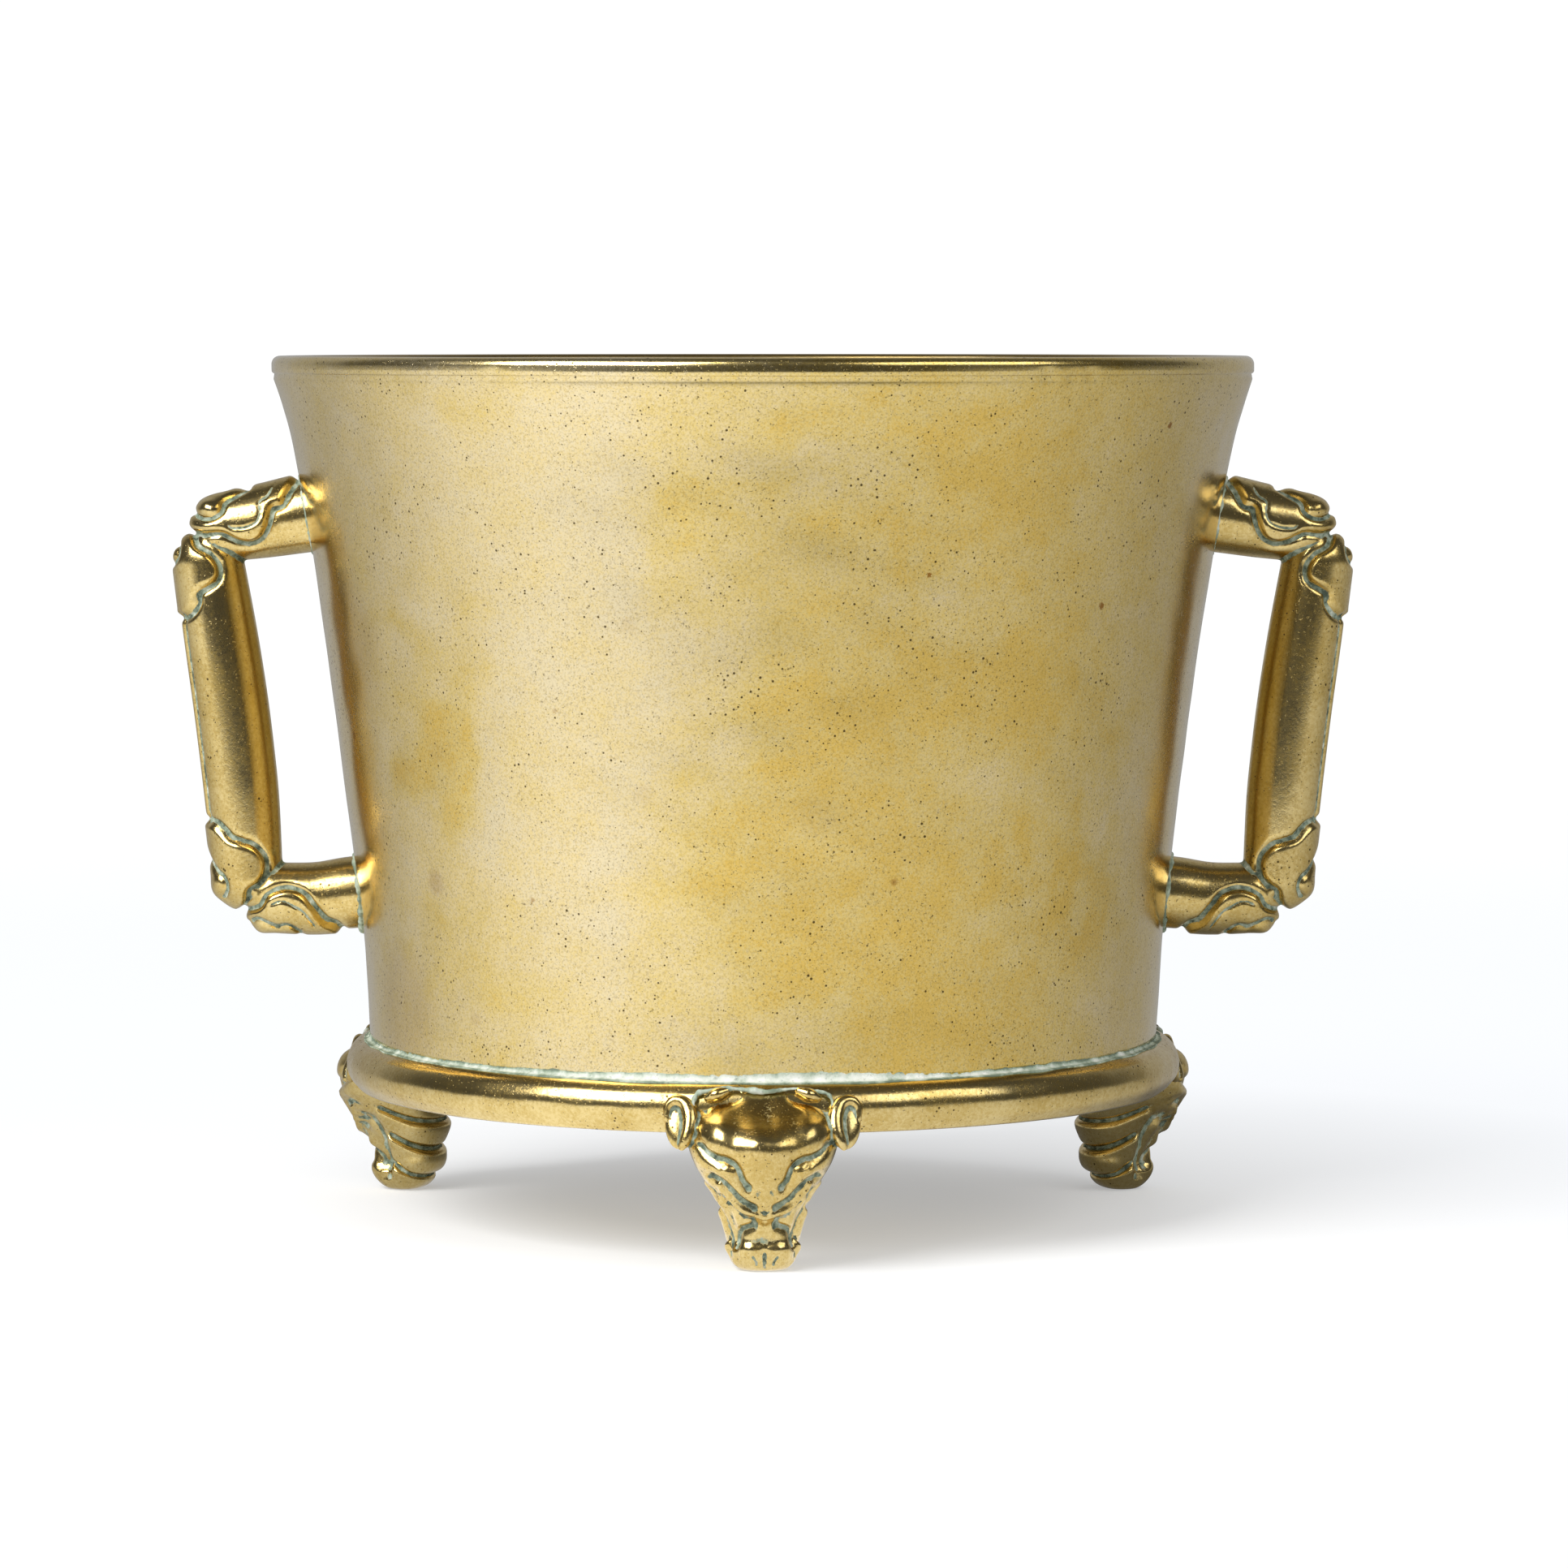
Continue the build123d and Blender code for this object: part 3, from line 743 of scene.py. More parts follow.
def makeFootSolder(material):
    path = evenPath(footSeam, 420, closed=True)
    for name, turn in footTurns.items():
        placed = turnedTo(path, turn)
        size = 0.34 + 0.12 * waviness(placed, 6, 41) + 0.10 * waviness(placed, 1.7, 42)
        points, faces = shell(beadAlong(placed, np.maximum(size, 0.25)), True)
        mesh = makeMesh(name + ".solder", points, faces, layers={"edge": np.full(len(points), 0.75)})
        makePiece(name + ".solder", mesh, material, [name + "_solder"])
    print("foot solder made")


handle = {
    "top": [(88.8, 0, 144.2), (95.0, 0, 143.2), (102.0, 0, 141.9), (110.2, 0, 140.7)],    # wall to knob
    "topRadii": [7.9, 7.7, 7.3, 6.9],
    "grip": [(113.5, 0, 133.6), (111.3, 0, 119.0), (109.4, 0, 105.7), (108.0, 0, 94.0), (107.0, 0, 84.0),
             (105.9, 0, 69.3)],
    "gripRadii": [7.0, 7.45, 7.6, 7.6, 7.5, 7.0],
    "low": [(78.6, 0, 66.2), (85.0, 0, 65.6), (92.0, 0, 64.8), (100.3, 0, 64.9)],
    "lowRadii": [7.5, 7.4, 7.1, 6.9],
    "rise": 0.80,                # cloud heads stand this far off the bars
    "voxel": 0.29,
    # outlines of the cloud heads, seen from the side (X, Z)
    "topCloud": [
        (118.6, 144.4), (117.6, 140.9), (114.5, 139.8), (110.6, 140.0), (107.1, 138.4), (104.6, 138.0),
        (102.6, 138.9), (101.3, 141.0), (100.2, 144.8), (98.2, 146.0), (97.0, 148.4), (95.6, 151.5),
        (98.0, 154.0), (108.0, 153.0), (115.0, 150.0),
    ],
    "gripTopCloud": [
        (123.0, 137.4), (119.4, 141.6), (117.2, 139.9), (115.6, 137.0), (112.8, 135.2), (111.2, 132.8),
        (111.6, 130.3), (115.2, 127.9), (115.8, 125.4), (117.2, 123.5), (119.0, 122.8), (122.5, 123.0),
        (125.0, 130.0),
    ],
    "gripLowCloud": [
        (115.2, 80.6), (112.4, 80.2), (110.8, 79.0), (109.0, 77.3), (106.6, 76.5), (104.2, 75.6),
        (102.3, 73.4), (102.0, 70.9), (103.1, 68.5), (105.5, 66.8), (106.2, 64.2), (107.6, 62.4),
        (110.5, 60.0), (117.0, 65.0), (118.5, 74.0), (117.6, 80.6),
    ],
    "lowCloud": [
        (108.4, 61.6), (105.6, 62.0), (103.0, 63.2), (101.3, 65.6), (98.0, 66.9), (94.6, 66.0),
        (92.4, 63.4), (90.0, 60.3), (87.4, 58.7), (86.6, 55.0), (96.0, 53.0), (107.0, 54.0),
        (110.0, 58.5),
    ],
    # scrolls and creases: points, width, depth, then the raised lip, its width and the fading ends
    "topLines": [
        ([(104.4, 149.2), (107.1, 147.5), (109.6, 145.9), (110.5, 144.0), (112.2, 142.9), (114.2, 142.7),
          (115.8, 143.4), (116.4, 144.8), (115.5, 146.2)], 0.60, 1.10, 0, 1, 0.05),
        ([(109.8, 142.2), (108.6, 141.0), (105.9, 141.0), (103.4, 142.0), (102.4, 143.9), (102.6, 145.8),
          (100.9, 147.1), (99.6, 149.3)], 0.28, 0.36, 0.20, 1.2),
    ],
    "gripLines": [
        ([(120.4, 139.8), (119.4, 137.9), (119.3, 135.4), (120.2, 133.6), (121.4, 132.4), (121.6, 130.0),
          (121.0, 127.4)], 0.50, 0.85, 0, 1, 0.05),
        ([(114.6, 75.6), (113.1, 72.6), (111.7, 70.7), (110.2, 69.3), (109.6, 67.2), (110.4, 65.0)],
         0.50, 0.85, 0, 1, 0.05),
    ],
    "lowLines": [
        ([(105.0, 60.4), (103.4, 60.9), (101.2, 60.0), (99.6, 59.4), (97.4, 59.6), (94.6, 57.8)],
         0.48, 0.85, 0, 1, 0.05),
        ([(101.8, 63.4), (98.6, 64.5), (95.8, 63.4), (94.0, 62.2), (91.4, 58.8)], 0.28, 0.36, 0.15, 1.2),
    ],
    # eyes of the scrolls: place, half sizes, height
    "topSwells": [(113.2, 144.8, 1.7, 1.3, 0.90)],
    "gripSwells": [(120.9, 136.8, 0.9, 2.0, 0.35), (111.6, 67.0, 1.4, 2.1, 0.65)],
    "lowSwells": [(103.0, 58.9, 1.8, 1.1, 0.65)],
    "notch": 1.1,                # half width of the notch where the two sides of a cloud head meet
    "smooth": 2,
    "peen": (4.3, 1.5),          # radius and height of the hammered tenon heads inside the pot
    "burr": 1.5,
}


def insideDistance(x, z, outline):
    # signed distance to a closed outline, positive inside
    ring = smoothPath(outline, 12 * len(outline), closed=True)
    loop = np.vstack([ring, ring[:1]])
    gap, _, _ = lineDistance(x, z, loop)
    inside = np.zeros(x.shape, bool)
    for (ax, az), (bx, bz) in zip(loop[:-1], loop[1:]):
        crosses = (az > z) != (bz > z)
        edge = ax + (z - az) * (bx - ax) / (bz - az if bz != az else 1e-9)
        inside ^= crosses & (x < edge)
    return np.where(inside, gap, -gap)


def cloudRelief(x, z, outline):
    # raised with a rounded edge inside the outline, and a groove cut just outside it
    d = insideDistance(x, z, outline)
    return handle["rise"] * smoothStep(d, -0.15, 1.1) - 0.70 * bell(d, -0.55, 0.58)


def topRelief(x, y, z):
    h = cloudRelief(x, z, handle["topCloud"]) + worked(x, z, handle["topSwells"], handle["topLines"])
    return h - 0.7 * bell(y, 0, handle["notch"]) * smoothStep(x, 108.0, 112.0)


def gripRelief(x, y, z):
    h = cloudRelief(x, z, handle["gripTopCloud"]) + cloudRelief(x, z, handle["gripLowCloud"])
    outer = smoothStep(x - (106.6 + 0.1065 * (z - 84)), 0, 1)              # outside the grip's leaning axis
    between = smoothStep(z, 79.0, 81.5) * smoothStep(124.5 - z, 0, 2.0) * outer
    strap = 0.26 * (1 - smoothStep(np.abs(y), 1.9, 2.7)) - 0.60 * bell(np.abs(y), 2.8, 0.62)
    h += between * strap                                                   # raised strap down the back
    h += worked(x, z, handle["gripSwells"], handle["gripLines"])
    ends = np.maximum(smoothStep(z, 133.0, 137.0), smoothStep(70.0 - z, 0.0, 4.0))
    return h - 0.6 * bell(y, 0, handle["notch"]) * ends


def lowRelief(x, y, z):
    h = cloudRelief(x, z, handle["lowCloud"]) + worked(x, z, handle["lowSwells"], handle["lowLines"])
    return h - 0.6 * bell(y, 0, handle["notch"]) * smoothStep(x, 99.0, 103.0)


def peenedHead(level):
    # a tenon end hammered to a low dome on its washer, inside the pot
    centre, slope, _, _ = armSolder[level]
    radius, height = handle["peen"]
    x = wallRadius(centre[1]) - pot["wall"] - handle["burr"]
    z = centre[1] + slope * (centre[0] - x)
    points, faces = ball((0, 0, 0), (height, radius, radius), 40, 60)
    points = points * (1 + 0.03 * waviness(points, 2.2, 61)[:, None])
    return points + np.array([x, 0, z]), faces


def makeHandles(material):
    shells = [
        bar(handle["top"], handle["topRadii"], topRelief, 150, roundStart=False),
        bar(handle["grip"], handle["gripRadii"], gripRelief, 340),
        bar(handle["low"], handle["lowRadii"], lowRelief, 150, roundStart=False),
    ]
    points, faces = fused("handleRough", shells, handle["voxel"])
    points = neighbourMean(points, faces, handle["smooth"], 0.5)
    faces = outward(points, faces)
    fine, broad = hollows(points, faces, fineRounds), hollows(points, faces, broadRounds)
    heads = joined([peenedHead("upper"), peenedHead("lower")])
    points, faces = joined([(points, faces), heads])
    none = np.zeros(len(heads[0]))
    layers = {"hollow": np.concatenate([fine, none]), "hollowBroad": np.concatenate([broad, none])}
    for side, hand in ((-1, "left"), (1, "right")):
        placed = points * np.array([side, 1, 1])
        mesh = makeMesh("handle." + hand, placed, outward(placed, faces), weld=True, layers=layers)
        makePiece("handle." + hand, mesh, material, ["handle_" + hand])
    print("handles made", len(points))


def hexColour(text):
    # an sRGB hex colour as linear values
    channels = [int(text[k : k + 2], 16) / 255 for k in (1, 3, 5)]
    return tuple(c / 12.92 if c <= 0.04045 else ((c + 0.055) / 1.055) ** 2.4 for c in channels) + (1.0,)


def perMetre(size):
    # texture scale for a pattern of this size in millimetres
    return 1 / (size * toMetres)


def addNode(tree, kind, inputs=None, out=0, stops=None, **settings):
    # adds a node: settings are its own properties, inputs are values or sockets to link, stops are ramp
    # colours; gives back one of its outputs
    node = tree.nodes.new("ShaderNode" + kind)
    for key, value in settings.items():
        setattr(node, key, value)
    for key, value in (inputs or {}).items():
        if isinstance(value, bpy.types.NodeSocket):
            tree.links.new(value, node.inputs[key])
        else:
            node.inputs[key].default_value = value
    for index, (place, colour) in enumerate(stops or []):
        elements = node.color_ramp.elements
        element = elements[index] if index < 2 else elements.new(place)
        element.position = place
        element.color = colour
    return node.outputs[out] if len(node.outputs) else node


def newMaterial(name):
    material = bpy.data.materials.new(name)
    material.use_nodes = True
    tree = material.node_tree
    tree.nodes.clear()
    return material, tree, addNode(tree, "TexCoord", out="Object")


def pitsAndSpecks(tree, place, crowd, look):
    # casting pits and dark specks of tarnish, both closer together where crowd is high
    cells = addNode(tree, "TexVoronoi", {"Vector": place, "Scale": perMetre(look["pitCell"])},
                    out="Distance")
    low, high, few, many = look["pitReach"]
    reach = addNode(tree, "MapRange", {"Value": crowd, 1: low, 2: high, 3: few, 4: many})
    pit = addNode(tree, "Math", {0: cells, 1: reach}, operation="SUBTRACT")
    pit = addNode(tree, "MapRange", {"Value": pit, 1: -0.03, 2: 0.02, 3: look["pitDepth"], 4: 0.0})
    speck = addNode(tree, "TexNoise", {"Vector": place, "Scale": perMetre(look["speck"]), "Detail": 1.0})
    low, high, few, many = look["speckFrom"]
    rare = addNode(tree, "MapRange", {"Value": crowd, 1: low, 2: high, 3: few, 4: many})
    speck = addNode(tree, "Math", {0: speck, 1: rare}, operation="SUBTRACT")
    soft, dark = look["speckEdge"]
    speck = addNode(tree, "MapRange", {"Value": speck, 1: 0.0, 2: soft, 3: 0.0, 4: dark})
    return addNode(tree, "Math", {0: pit, 1: speck}, operation="MAXIMUM")


brass = {
    "ochre": hexColour("#dab961"),
    "straw": hexColour("#ddc57e"),
    "pale": hexColour("#e1cd98"),
    # the film colour is also what the painted highlight band and painted backdrop reflections are drawn
    # towards
    "film": hexColour("#e1d2ac"),          # thickest grey-green tarnish
    "pit": hexColour("#4d3f24"),
    "grime": hexColour("#7d6535"),
    "stain": hexColour("#96682c"),
    "inside": hexColour("#8f7848"),
    "grain": 0.55,                         # the tarnish breaks up into specks about this wide, in mm
    "mottle": 4.0,
    "rubbed": (171.0, 173.0),
    "dust": 0.42,                          # fine dark grain all over
    "pitCell": 1.7,                        # mean distance between fine casting pits
    "pitReach": (0.38, 0.66, 0.05, 0.16),  # from and to this crowding, share of the cell that a pit fills
    "pitDepth": 0.9,
    "speck": 0.50,                         # dark specks of tarnish
    "speckFrom": (0.32, 0.66, 0.700, 0.664),
    "speckEdge": (0.045, 0.50),
    "crowd": 16,                           # pits and specks gather in patches this wide
    "holeCell": 6.5,                       # and between the larger ones
    "holeRadius": 0.21,
}


def patinatedBrassWithPaintedSheen():
    # hand-finished cast brass under a thin, uneven tarnish: a satin metal, ochre where it is bare and
    # grey-green where the film is thick, broken into fine specks and dotted with dark casting pits; its
    # pale
    # end also holds painted light: a painted highlight band and painted reflections of the backdrop
    material, tree, place = newMaterial("patinatedBrassWithPaintedSheen")
    tone = addNode(tree, "Attribute", out="Fac", attribute_name="tone")
    inner = addNode(tree, "Attribute", out="Fac", attribute_name="inner")
    grain = addNode(tree, "TexNoise", {"Vector": place, "Scale": perMetre(brass["grain"]), "Detail": 2.0,
                                       "Roughness": 0.7})
    mottle = addNode(tree, "TexNoise", {"Vector": place, "Scale": perMetre(brass["mottle"]), "Detail": 4.0,
                                        "Roughness": 0.65})
    speck = addNode(tree, "Math", {0: grain, 1: 1.10, 2: -0.55}, operation="MULTIPLY_ADD")
    cloudy = addNode(tree, "Math", {0: mottle, 1: 0.50, 2: -0.25}, operation="MULTIPLY_ADD")
    tone = addNode(tree, "Math", {0: tone, 1: speck}, operation="ADD")
    tone = addNode(tree, "Math", {0: tone, 1: cloudy}, operation="ADD", use_clamp=True)
    # the tone carries the patina and also the painted highlight band and painted backdrop reflections
    colour = addNode(tree, "ValToRGB", {"Fac": tone}, stops=[
        (0.0, brass["ochre"]), (1.0, brass["film"]), (0.33, brass["straw"]), (0.66, brass["pale"]),
    ])
    # fine pits stand closer together in some places than in others
    crowd = addNode(tree, "TexNoise", {"Vector": place, "Scale": perMetre(brass["crowd"]), "Detail": 3.0,
                                       "Roughness": 0.6})
    pit = pitsAndSpecks(tree, place, crowd, brass)
    dust = addNode(tree, "TexNoise", {"Vector": place, "Scale": perMetre(brass["dust"]), "Detail": 2.0,
                                      "Roughness": 0.7})
    dust = addNode(tree, "MapRange", {"Value": dust, 1: 0.47, 2: 0.68, 3: 0.0, 4: 0.34})
    colour = addNode(tree, "MixRGB", {"Fac": dust, "Color1": colour, "Color2": brass["grime"]})
    coarse = addNode(tree, "TexVoronoi", {"Vector": place, "Scale": perMetre(brass["holeCell"])},
                     out="Distance")
    hole = addNode(tree, "MapRange", {"Value": coarse, 1: 0.5 * brass["holeRadius"] / brass["holeCell"],
                                      2: 1.4 * brass["holeRadius"] / brass["holeCell"], 3: 0.7, 4: 0.0})
    pit = addNode(tree, "Math", {0: pit, 1: hole}, operation="MAXIMUM")
    colour = addNode(tree, "MixRGB", {"Fac": pit, "Color1": colour, "Color2": brass["pit"]})
    # small brown stains, ragged at the edge
    ragged = addNode(tree, "Math", {0: grain, 1: 0.0012, 2: -0.0006}, operation="MULTIPLY_ADD")
    for azimuth, height, radius, strength in wallPatinaAndPaintedLight["stains"]:
        a = radians(azimuth)
        r = wallRadius(height)
        spot = Vector((r * sin(a), -r * cos(a), height)) * toMetres
        away = addNode(tree, "VectorMath", {0: place, 1: spot}, out="Value", operation="DISTANCE")
        away = addNode(tree, "Math", {0: away, 1: ragged}, operation="ADD")
        share = addNode(tree, "MapRange", {"Value": away, 1: 0.6 * radius * toMetres,
                                           2: 1.15 * radius * toMetres,
                                           3: strength, 4: 0.0})
        colour = addNode(tree, "MixRGB", {"Fac": share, "Color1": colour, "Color2": brass["stain"]})
    # the inside was never polished
    dull = addNode(tree, "Math", {0: inner, 1: 0.85}, operation="MULTIPLY")
    colour = addNode(tree, "MixRGB", {"Fac": dull, "Color1": colour, "Color2": brass["inside"]})
    rough = addNode(tree, "MapRange", {"Value": tone, 1: 0.0, 2: 1.0, 3: 0.30, 4: 0.36})
    rough = addNode(tree, "Math", {0: inner, 1: 0.16, 2: rough}, operation="MULTIPLY_ADD")
    rough = addNode(tree, "Math", {0: pit, 1: 0.3, 2: rough}, operation="MULTIPLY_ADD")
    graze = addNode(tree, "LayerWeight", {"Blend": 0.5}, out="Facing")
    graze = addNode(tree, "MapRange", {"Value": graze, 1: 0.45, 2: 0.85, 3: 1.0, 4: 0.36})
    rough = addNode(tree, "Math", {0: rough, 1: graze}, operation="MULTIPLY")
    # hands have rubbed the lip smooth
    level = addNode(tree, "SeparateXYZ", {"Vector": place}, out="Z")
    lipFrom, lipTo = (z * toMetres for z in brass["rubbed"])
    rubbed = addNode(tree, "MapRange", {"Value": level, 1: lipFrom, 2: lipTo, 3: 1.0, 4: 0.68})
    rough = addNode(tree, "Math", {0: rough, 1: rubbed}, operation="MULTIPLY")
    height = addNode(tree, "Math", {0: grain, 1: 0.4}, operation="MULTIPLY")
    height = addNode(tree, "Math", {0: height, 1: pit}, operation="SUBTRACT")
    normal = addNode(tree, "Bump", {"Height": height, "Strength": 0.4, "Distance": 0.08 * toMetres})
    shader = addNode(tree, "BsdfPrincipled", {"Base Color": colour, "Metallic": 1.0, "Roughness": rough,
                                              "Normal": normal})
    addNode(tree, "OutputMaterial", {"Surface": shader})
    return material


casting = {
    "bright": hexColour("#d8c286"),
    "warm": hexColour("#c4a964"),
    "brown": hexColour("#7e6a3a"),
    "pit": hexColour("#45361d"),
    "greenDark": hexColour("#3f4b3d"),
    "greenPale": hexColour("#808d7a"),
    "white": hexColour("#b6bbae"),
    "packedFrom": 0.013,                   # mm of hollow where verdigris begins to hold
    "packedFull": 0.036,
    "grain": 0.7,
    "cloud": 10,
    "crust": 2.0,                          # patches of pale and dark verdigris
    "pitCell": 1.6,
    "pitReach": (0.42, 0.66, 0.04, 0.18),
    "pitDepth": 0.85,
    "speck": 0.5,
    "speckFrom": (0.32, 0.66, 0.73, 0.665),
    "speckEdge": (0.05, 0.55),
}


def chasedBrass():
    # cast brass, chased and rubbed: worn bright on the high places, brown below them, and verdigris packed
    # in the grooves where a cloth never reaches
    material, tree, place = newMaterial("chasedBrass")
    fine = addNode(tree, "Attribute", out="Fac", attribute_name="hollow")
    wide = addNode(tree, "Attribute", out="Fac", attribute_name="hollowBroad")
    grain = addNode(tree, "TexNoise", {"Vector": place, "Scale": perMetre(casting["grain"]),
                                       "Detail": 2.0, "Roughness": 0.7})
    cloud = addNode(tree, "TexNoise", {"Vector": place, "Scale": perMetre(casting["cloud"]),
                                       "Detail": 4.0, "Roughness": 0.6})
    speck = addNode(tree, "Math", {0: grain, 1: 1.1, 2: -0.55}, operation="MULTIPLY_ADD")
    mixed = addNode(tree, "Math", {0: cloud, 1: speck}, operation="ADD")
    warm = addNode(tree, "MapRange", {"Value": mixed, 1: 0.28, 2: 0.72})
    colour = addNode(tree, "MixRGB", {"Fac": warm, "Color1": casting["bright"], "Color2": casting["warm"]})
    pit = pitsAndSpecks(tree, place, cloud, casting)
    colour = addNode(tree, "MixRGB", {"Fac": pit, "Color1": colour, "Color2": casting["pit"]})
    below = addNode(tree, "MapRange", {"Value": wide, 1: 0.03, 2: 0.45, 3: 0.0, 4: 0.75})
    colour = addNode(tree, "MixRGB", {"Fac": below, "Color1": colour, "Color2": casting["brown"]})
    ragged = addNode(tree, "Math", {0: grain, 1: 0.07, 2: -0.035}, operation="MULTIPLY_ADD")
    level = addNode(tree, "Math", {0: fine, 1: ragged}, operation="ADD")
    packed = addNode(tree, "MapRange", {"Value": level, 1: casting["packedFrom"], 2: casting["packedFull"]},
                     interpolation_type="SMOOTHSTEP")
    deep = addNode(tree, "MapRange", {"Value": wide, 1: 0.40, 2: 0.66}, interpolation_type="SMOOTHSTEP")
    packed = addNode(tree, "Math", {0: packed, 1: deep}, operation="MAXIMUM")
    patch = addNode(tree, "TexNoise", {"Vector": place, "Scale": perMetre(casting["crust"]),
                                       "Detail": 4.0, "Roughness": 0.7})
    crust = addNode(tree, "ValToRGB", {"Fac": patch}, stops=[
        (0.38, casting["greenDark"]), (0.70, casting["white"]), (0.53, casting["greenPale"]),
    ])
    colour = addNode(tree, "MixRGB", {"Fac": packed, "Color1": colour, "Color2": crust})
    metal = addNode(tree, "Math", {0: packed, 1: -0.97, 2: 1.0}, operation="MULTIPLY_ADD")
    worn = addNode(tree, "MapRange", {"Value": mixed, 1: 0.28, 2: 0.72, 3: 0.17, 4: 0.27})
    rough = addNode(tree, "MapRange", {"Value": packed, 3: worn, 4: 0.85})
    rough = addNode(tree, "Math", {0: pit, 1: 0.3, 2: rough}, operation="MULTIPLY_ADD", use_clamp=True)
    height = addNode(tree, "Math", {0: grain, 1: 0.5}, operation="MULTIPLY")
    height = addNode(tree, "Math", {0: height, 1: pit}, operation="SUBTRACT")
    normal = addNode(tree, "Bump", {"Height": height, "Strength": 0.4, "Distance": 0.09 * toMetres})
    shader = addNode(tree, "BsdfPrincipled", {"Base Color": colour, "Metallic": metal, "Roughness": rough,
                                              "Normal": normal})
    addNode(tree, "OutputMaterial", {"Surface": shader})
    return material


solder = {
    # green against the brass, white in the middle: ramp places and colours
    "ramp": [(0.14, hexColour("#62705f")), (0.56, hexColour("#d0d1cb")), (0.27, hexColour("#929f8d")),
             (0.40, hexColour("#b8beb3"))],
    "crack": hexColour("#5b6960"),
    "patch": 4.0,
    "grain": 0.8,
    "bump": 0.15,
}


def solderCrust():
    # soft solder gone dull under a pale carbonate crust: white in the middle, green where it meets the
    # brass
    material, tree, place = newMaterial("solderCrust")
    edge = addNode(tree, "Attribute", out="Fac", attribute_name="edge")
    patch = addNode(tree, "TexNoise", {"Vector": place, "Scale": perMetre(solder["patch"]),
                                       "Detail": 4.0, "Roughness": 0.65})
    grain = addNode(tree, "TexNoise", {"Vector": place, "Scale": perMetre(solder["grain"]),
                                       "Detail": 3.0, "Roughness": 0.65})
    level = addNode(tree, "Math", {0: edge, 1: -0.30, 2: patch}, operation="MULTIPLY_ADD")
    colour = addNode(tree, "ValToRGB", {"Fac": level}, stops=solder["ramp"])
    crack = addNode(tree, "MapRange", {"Value": grain, 1: 0.58, 2: 0.72, 3: 0.0, 4: 0.55})
    colour = addNode(tree, "MixRGB", {"Fac": crack, "Color1": colour, "Color2": solder["crack"]})
    normal = addNode(tree, "Bump", {"Height": grain, "Strength": 0.6,
                                    "Distance": solder["bump"] * toMetres})
    shader = addNode(tree, "BsdfPrincipled", {"Base Color": colour, "Metallic": 0.0, "Roughness": 0.8,
                                              "Normal": normal})
    addNode(tree, "OutputMaterial", {"Surface": shader})
    return material


washer = {
    "warm": hexColour("#9a7c43"),
    "brown": hexColour("#6e5a38"),
    "dent": 2.2,
    "dentDepth": 0.4,
    "cloud": 5,
}


def hammeredBrass():
    # washers beaten flat over the tenons: brown and dull, with broad hammer dents
    material, tree, place = newMaterial("hammeredBrass")
    dents = addNode(tree, "TexVoronoi", {"Vector": place, "Scale": perMetre(washer["dent"])},
                    out="Distance")
    cloud = addNode(tree, "TexNoise", {"Vector": place, "Scale": perMetre(washer["cloud"]),
                                       "Detail": 3.0, "Roughness": 0.6})
    share = addNode(tree, "MapRange", {"Value": cloud, 1: 0.35, 2: 0.65})
    colour = addNode(tree, "MixRGB", {"Fac": share, "Color1": washer["warm"], "Color2": washer["brown"]})
    normal = addNode(tree, "Bump", {"Height": dents, "Strength": 0.6,
                                    "Distance": washer["dentDepth"] * toMetres})
    shader = addNode(tree, "BsdfPrincipled", {"Base Color": colour, "Metallic": 1.0, "Roughness": 0.42,
                                              "Normal": normal})
    addNode(tree, "OutputMaterial", {"Surface": shader})
    return material


studio = {
    "distance": 1250.0,            # camera to the middle of the pot
    "eyeHeight": 180.7,
    "lens": 139.8,
    "sensor": 36.0,
    "aimDown": 4.24,
    "shiftX": 0.0135,
    # brightness of the white table in the metal, by azimuth from the front: brightest on the key light's
    # side
    "tableGlow": [(-180, 0.37), (-120, 0.55), (-92, 0.86), (-63, 1.24), (-42, 1.40), (-20, 1.34), (5, 1.14),
                  (25, 1.02), (44, 0.92), (74, 0.68), (111, 0.44), (180, 0.37)],
    "underPot": 0.30,              # share of that glow left in the pot's own shade
    "shadeMiddle": (30.0, 55.0, 0.0),
    "shadeSize": (60.0, 130.0),
    "room": 0.07,                  # dark room behind the camera
    "backdrop": 0.42,
    "shadowLift": (0.36, 0.90),    # light scattered into the shadows the camera sees, near the pot and far
    "liftSpan": (0.08, 0.24),      # from here to here, in metres from the middle
    "tableFront": (0.56, 0.84),    # where the table ends in front, in metres; beyond it the room is dark
    "glowTop": 1.5,                # a ramp holds 0 to 1, so the glow is divided by this and multiplied back
    "tableHalf": 3.0,              # metres
    "tableWhite": (0.88, 0.88, 0.88, 1),
    "liftColour": (0.98, 1.0, 1.03, 1),
    "tableFade": (0.5, 1.3),       # the table fades into the backdrop between these, in metres
    "backdropSpan": (0.30, 0.75),  # how far round to the back, as Y of the direction
    "roomSpan": (-0.75, -0.45, 0.04),                        # and below the horizon in front
    "horizon": 0.06,
    "scatter": 0.60,               # the room's light on dull surfaces
    "seen": 1.05,                  # and what the camera sees of it
    # azimuth, elevation, distance, width, height, watts
    "keyLeft": (-44, 38, 1.45, 1.05, 0.80, 25.0),
    "fillRight": (50, 37, 1.50, 1.10, 0.70, 5.5),
}


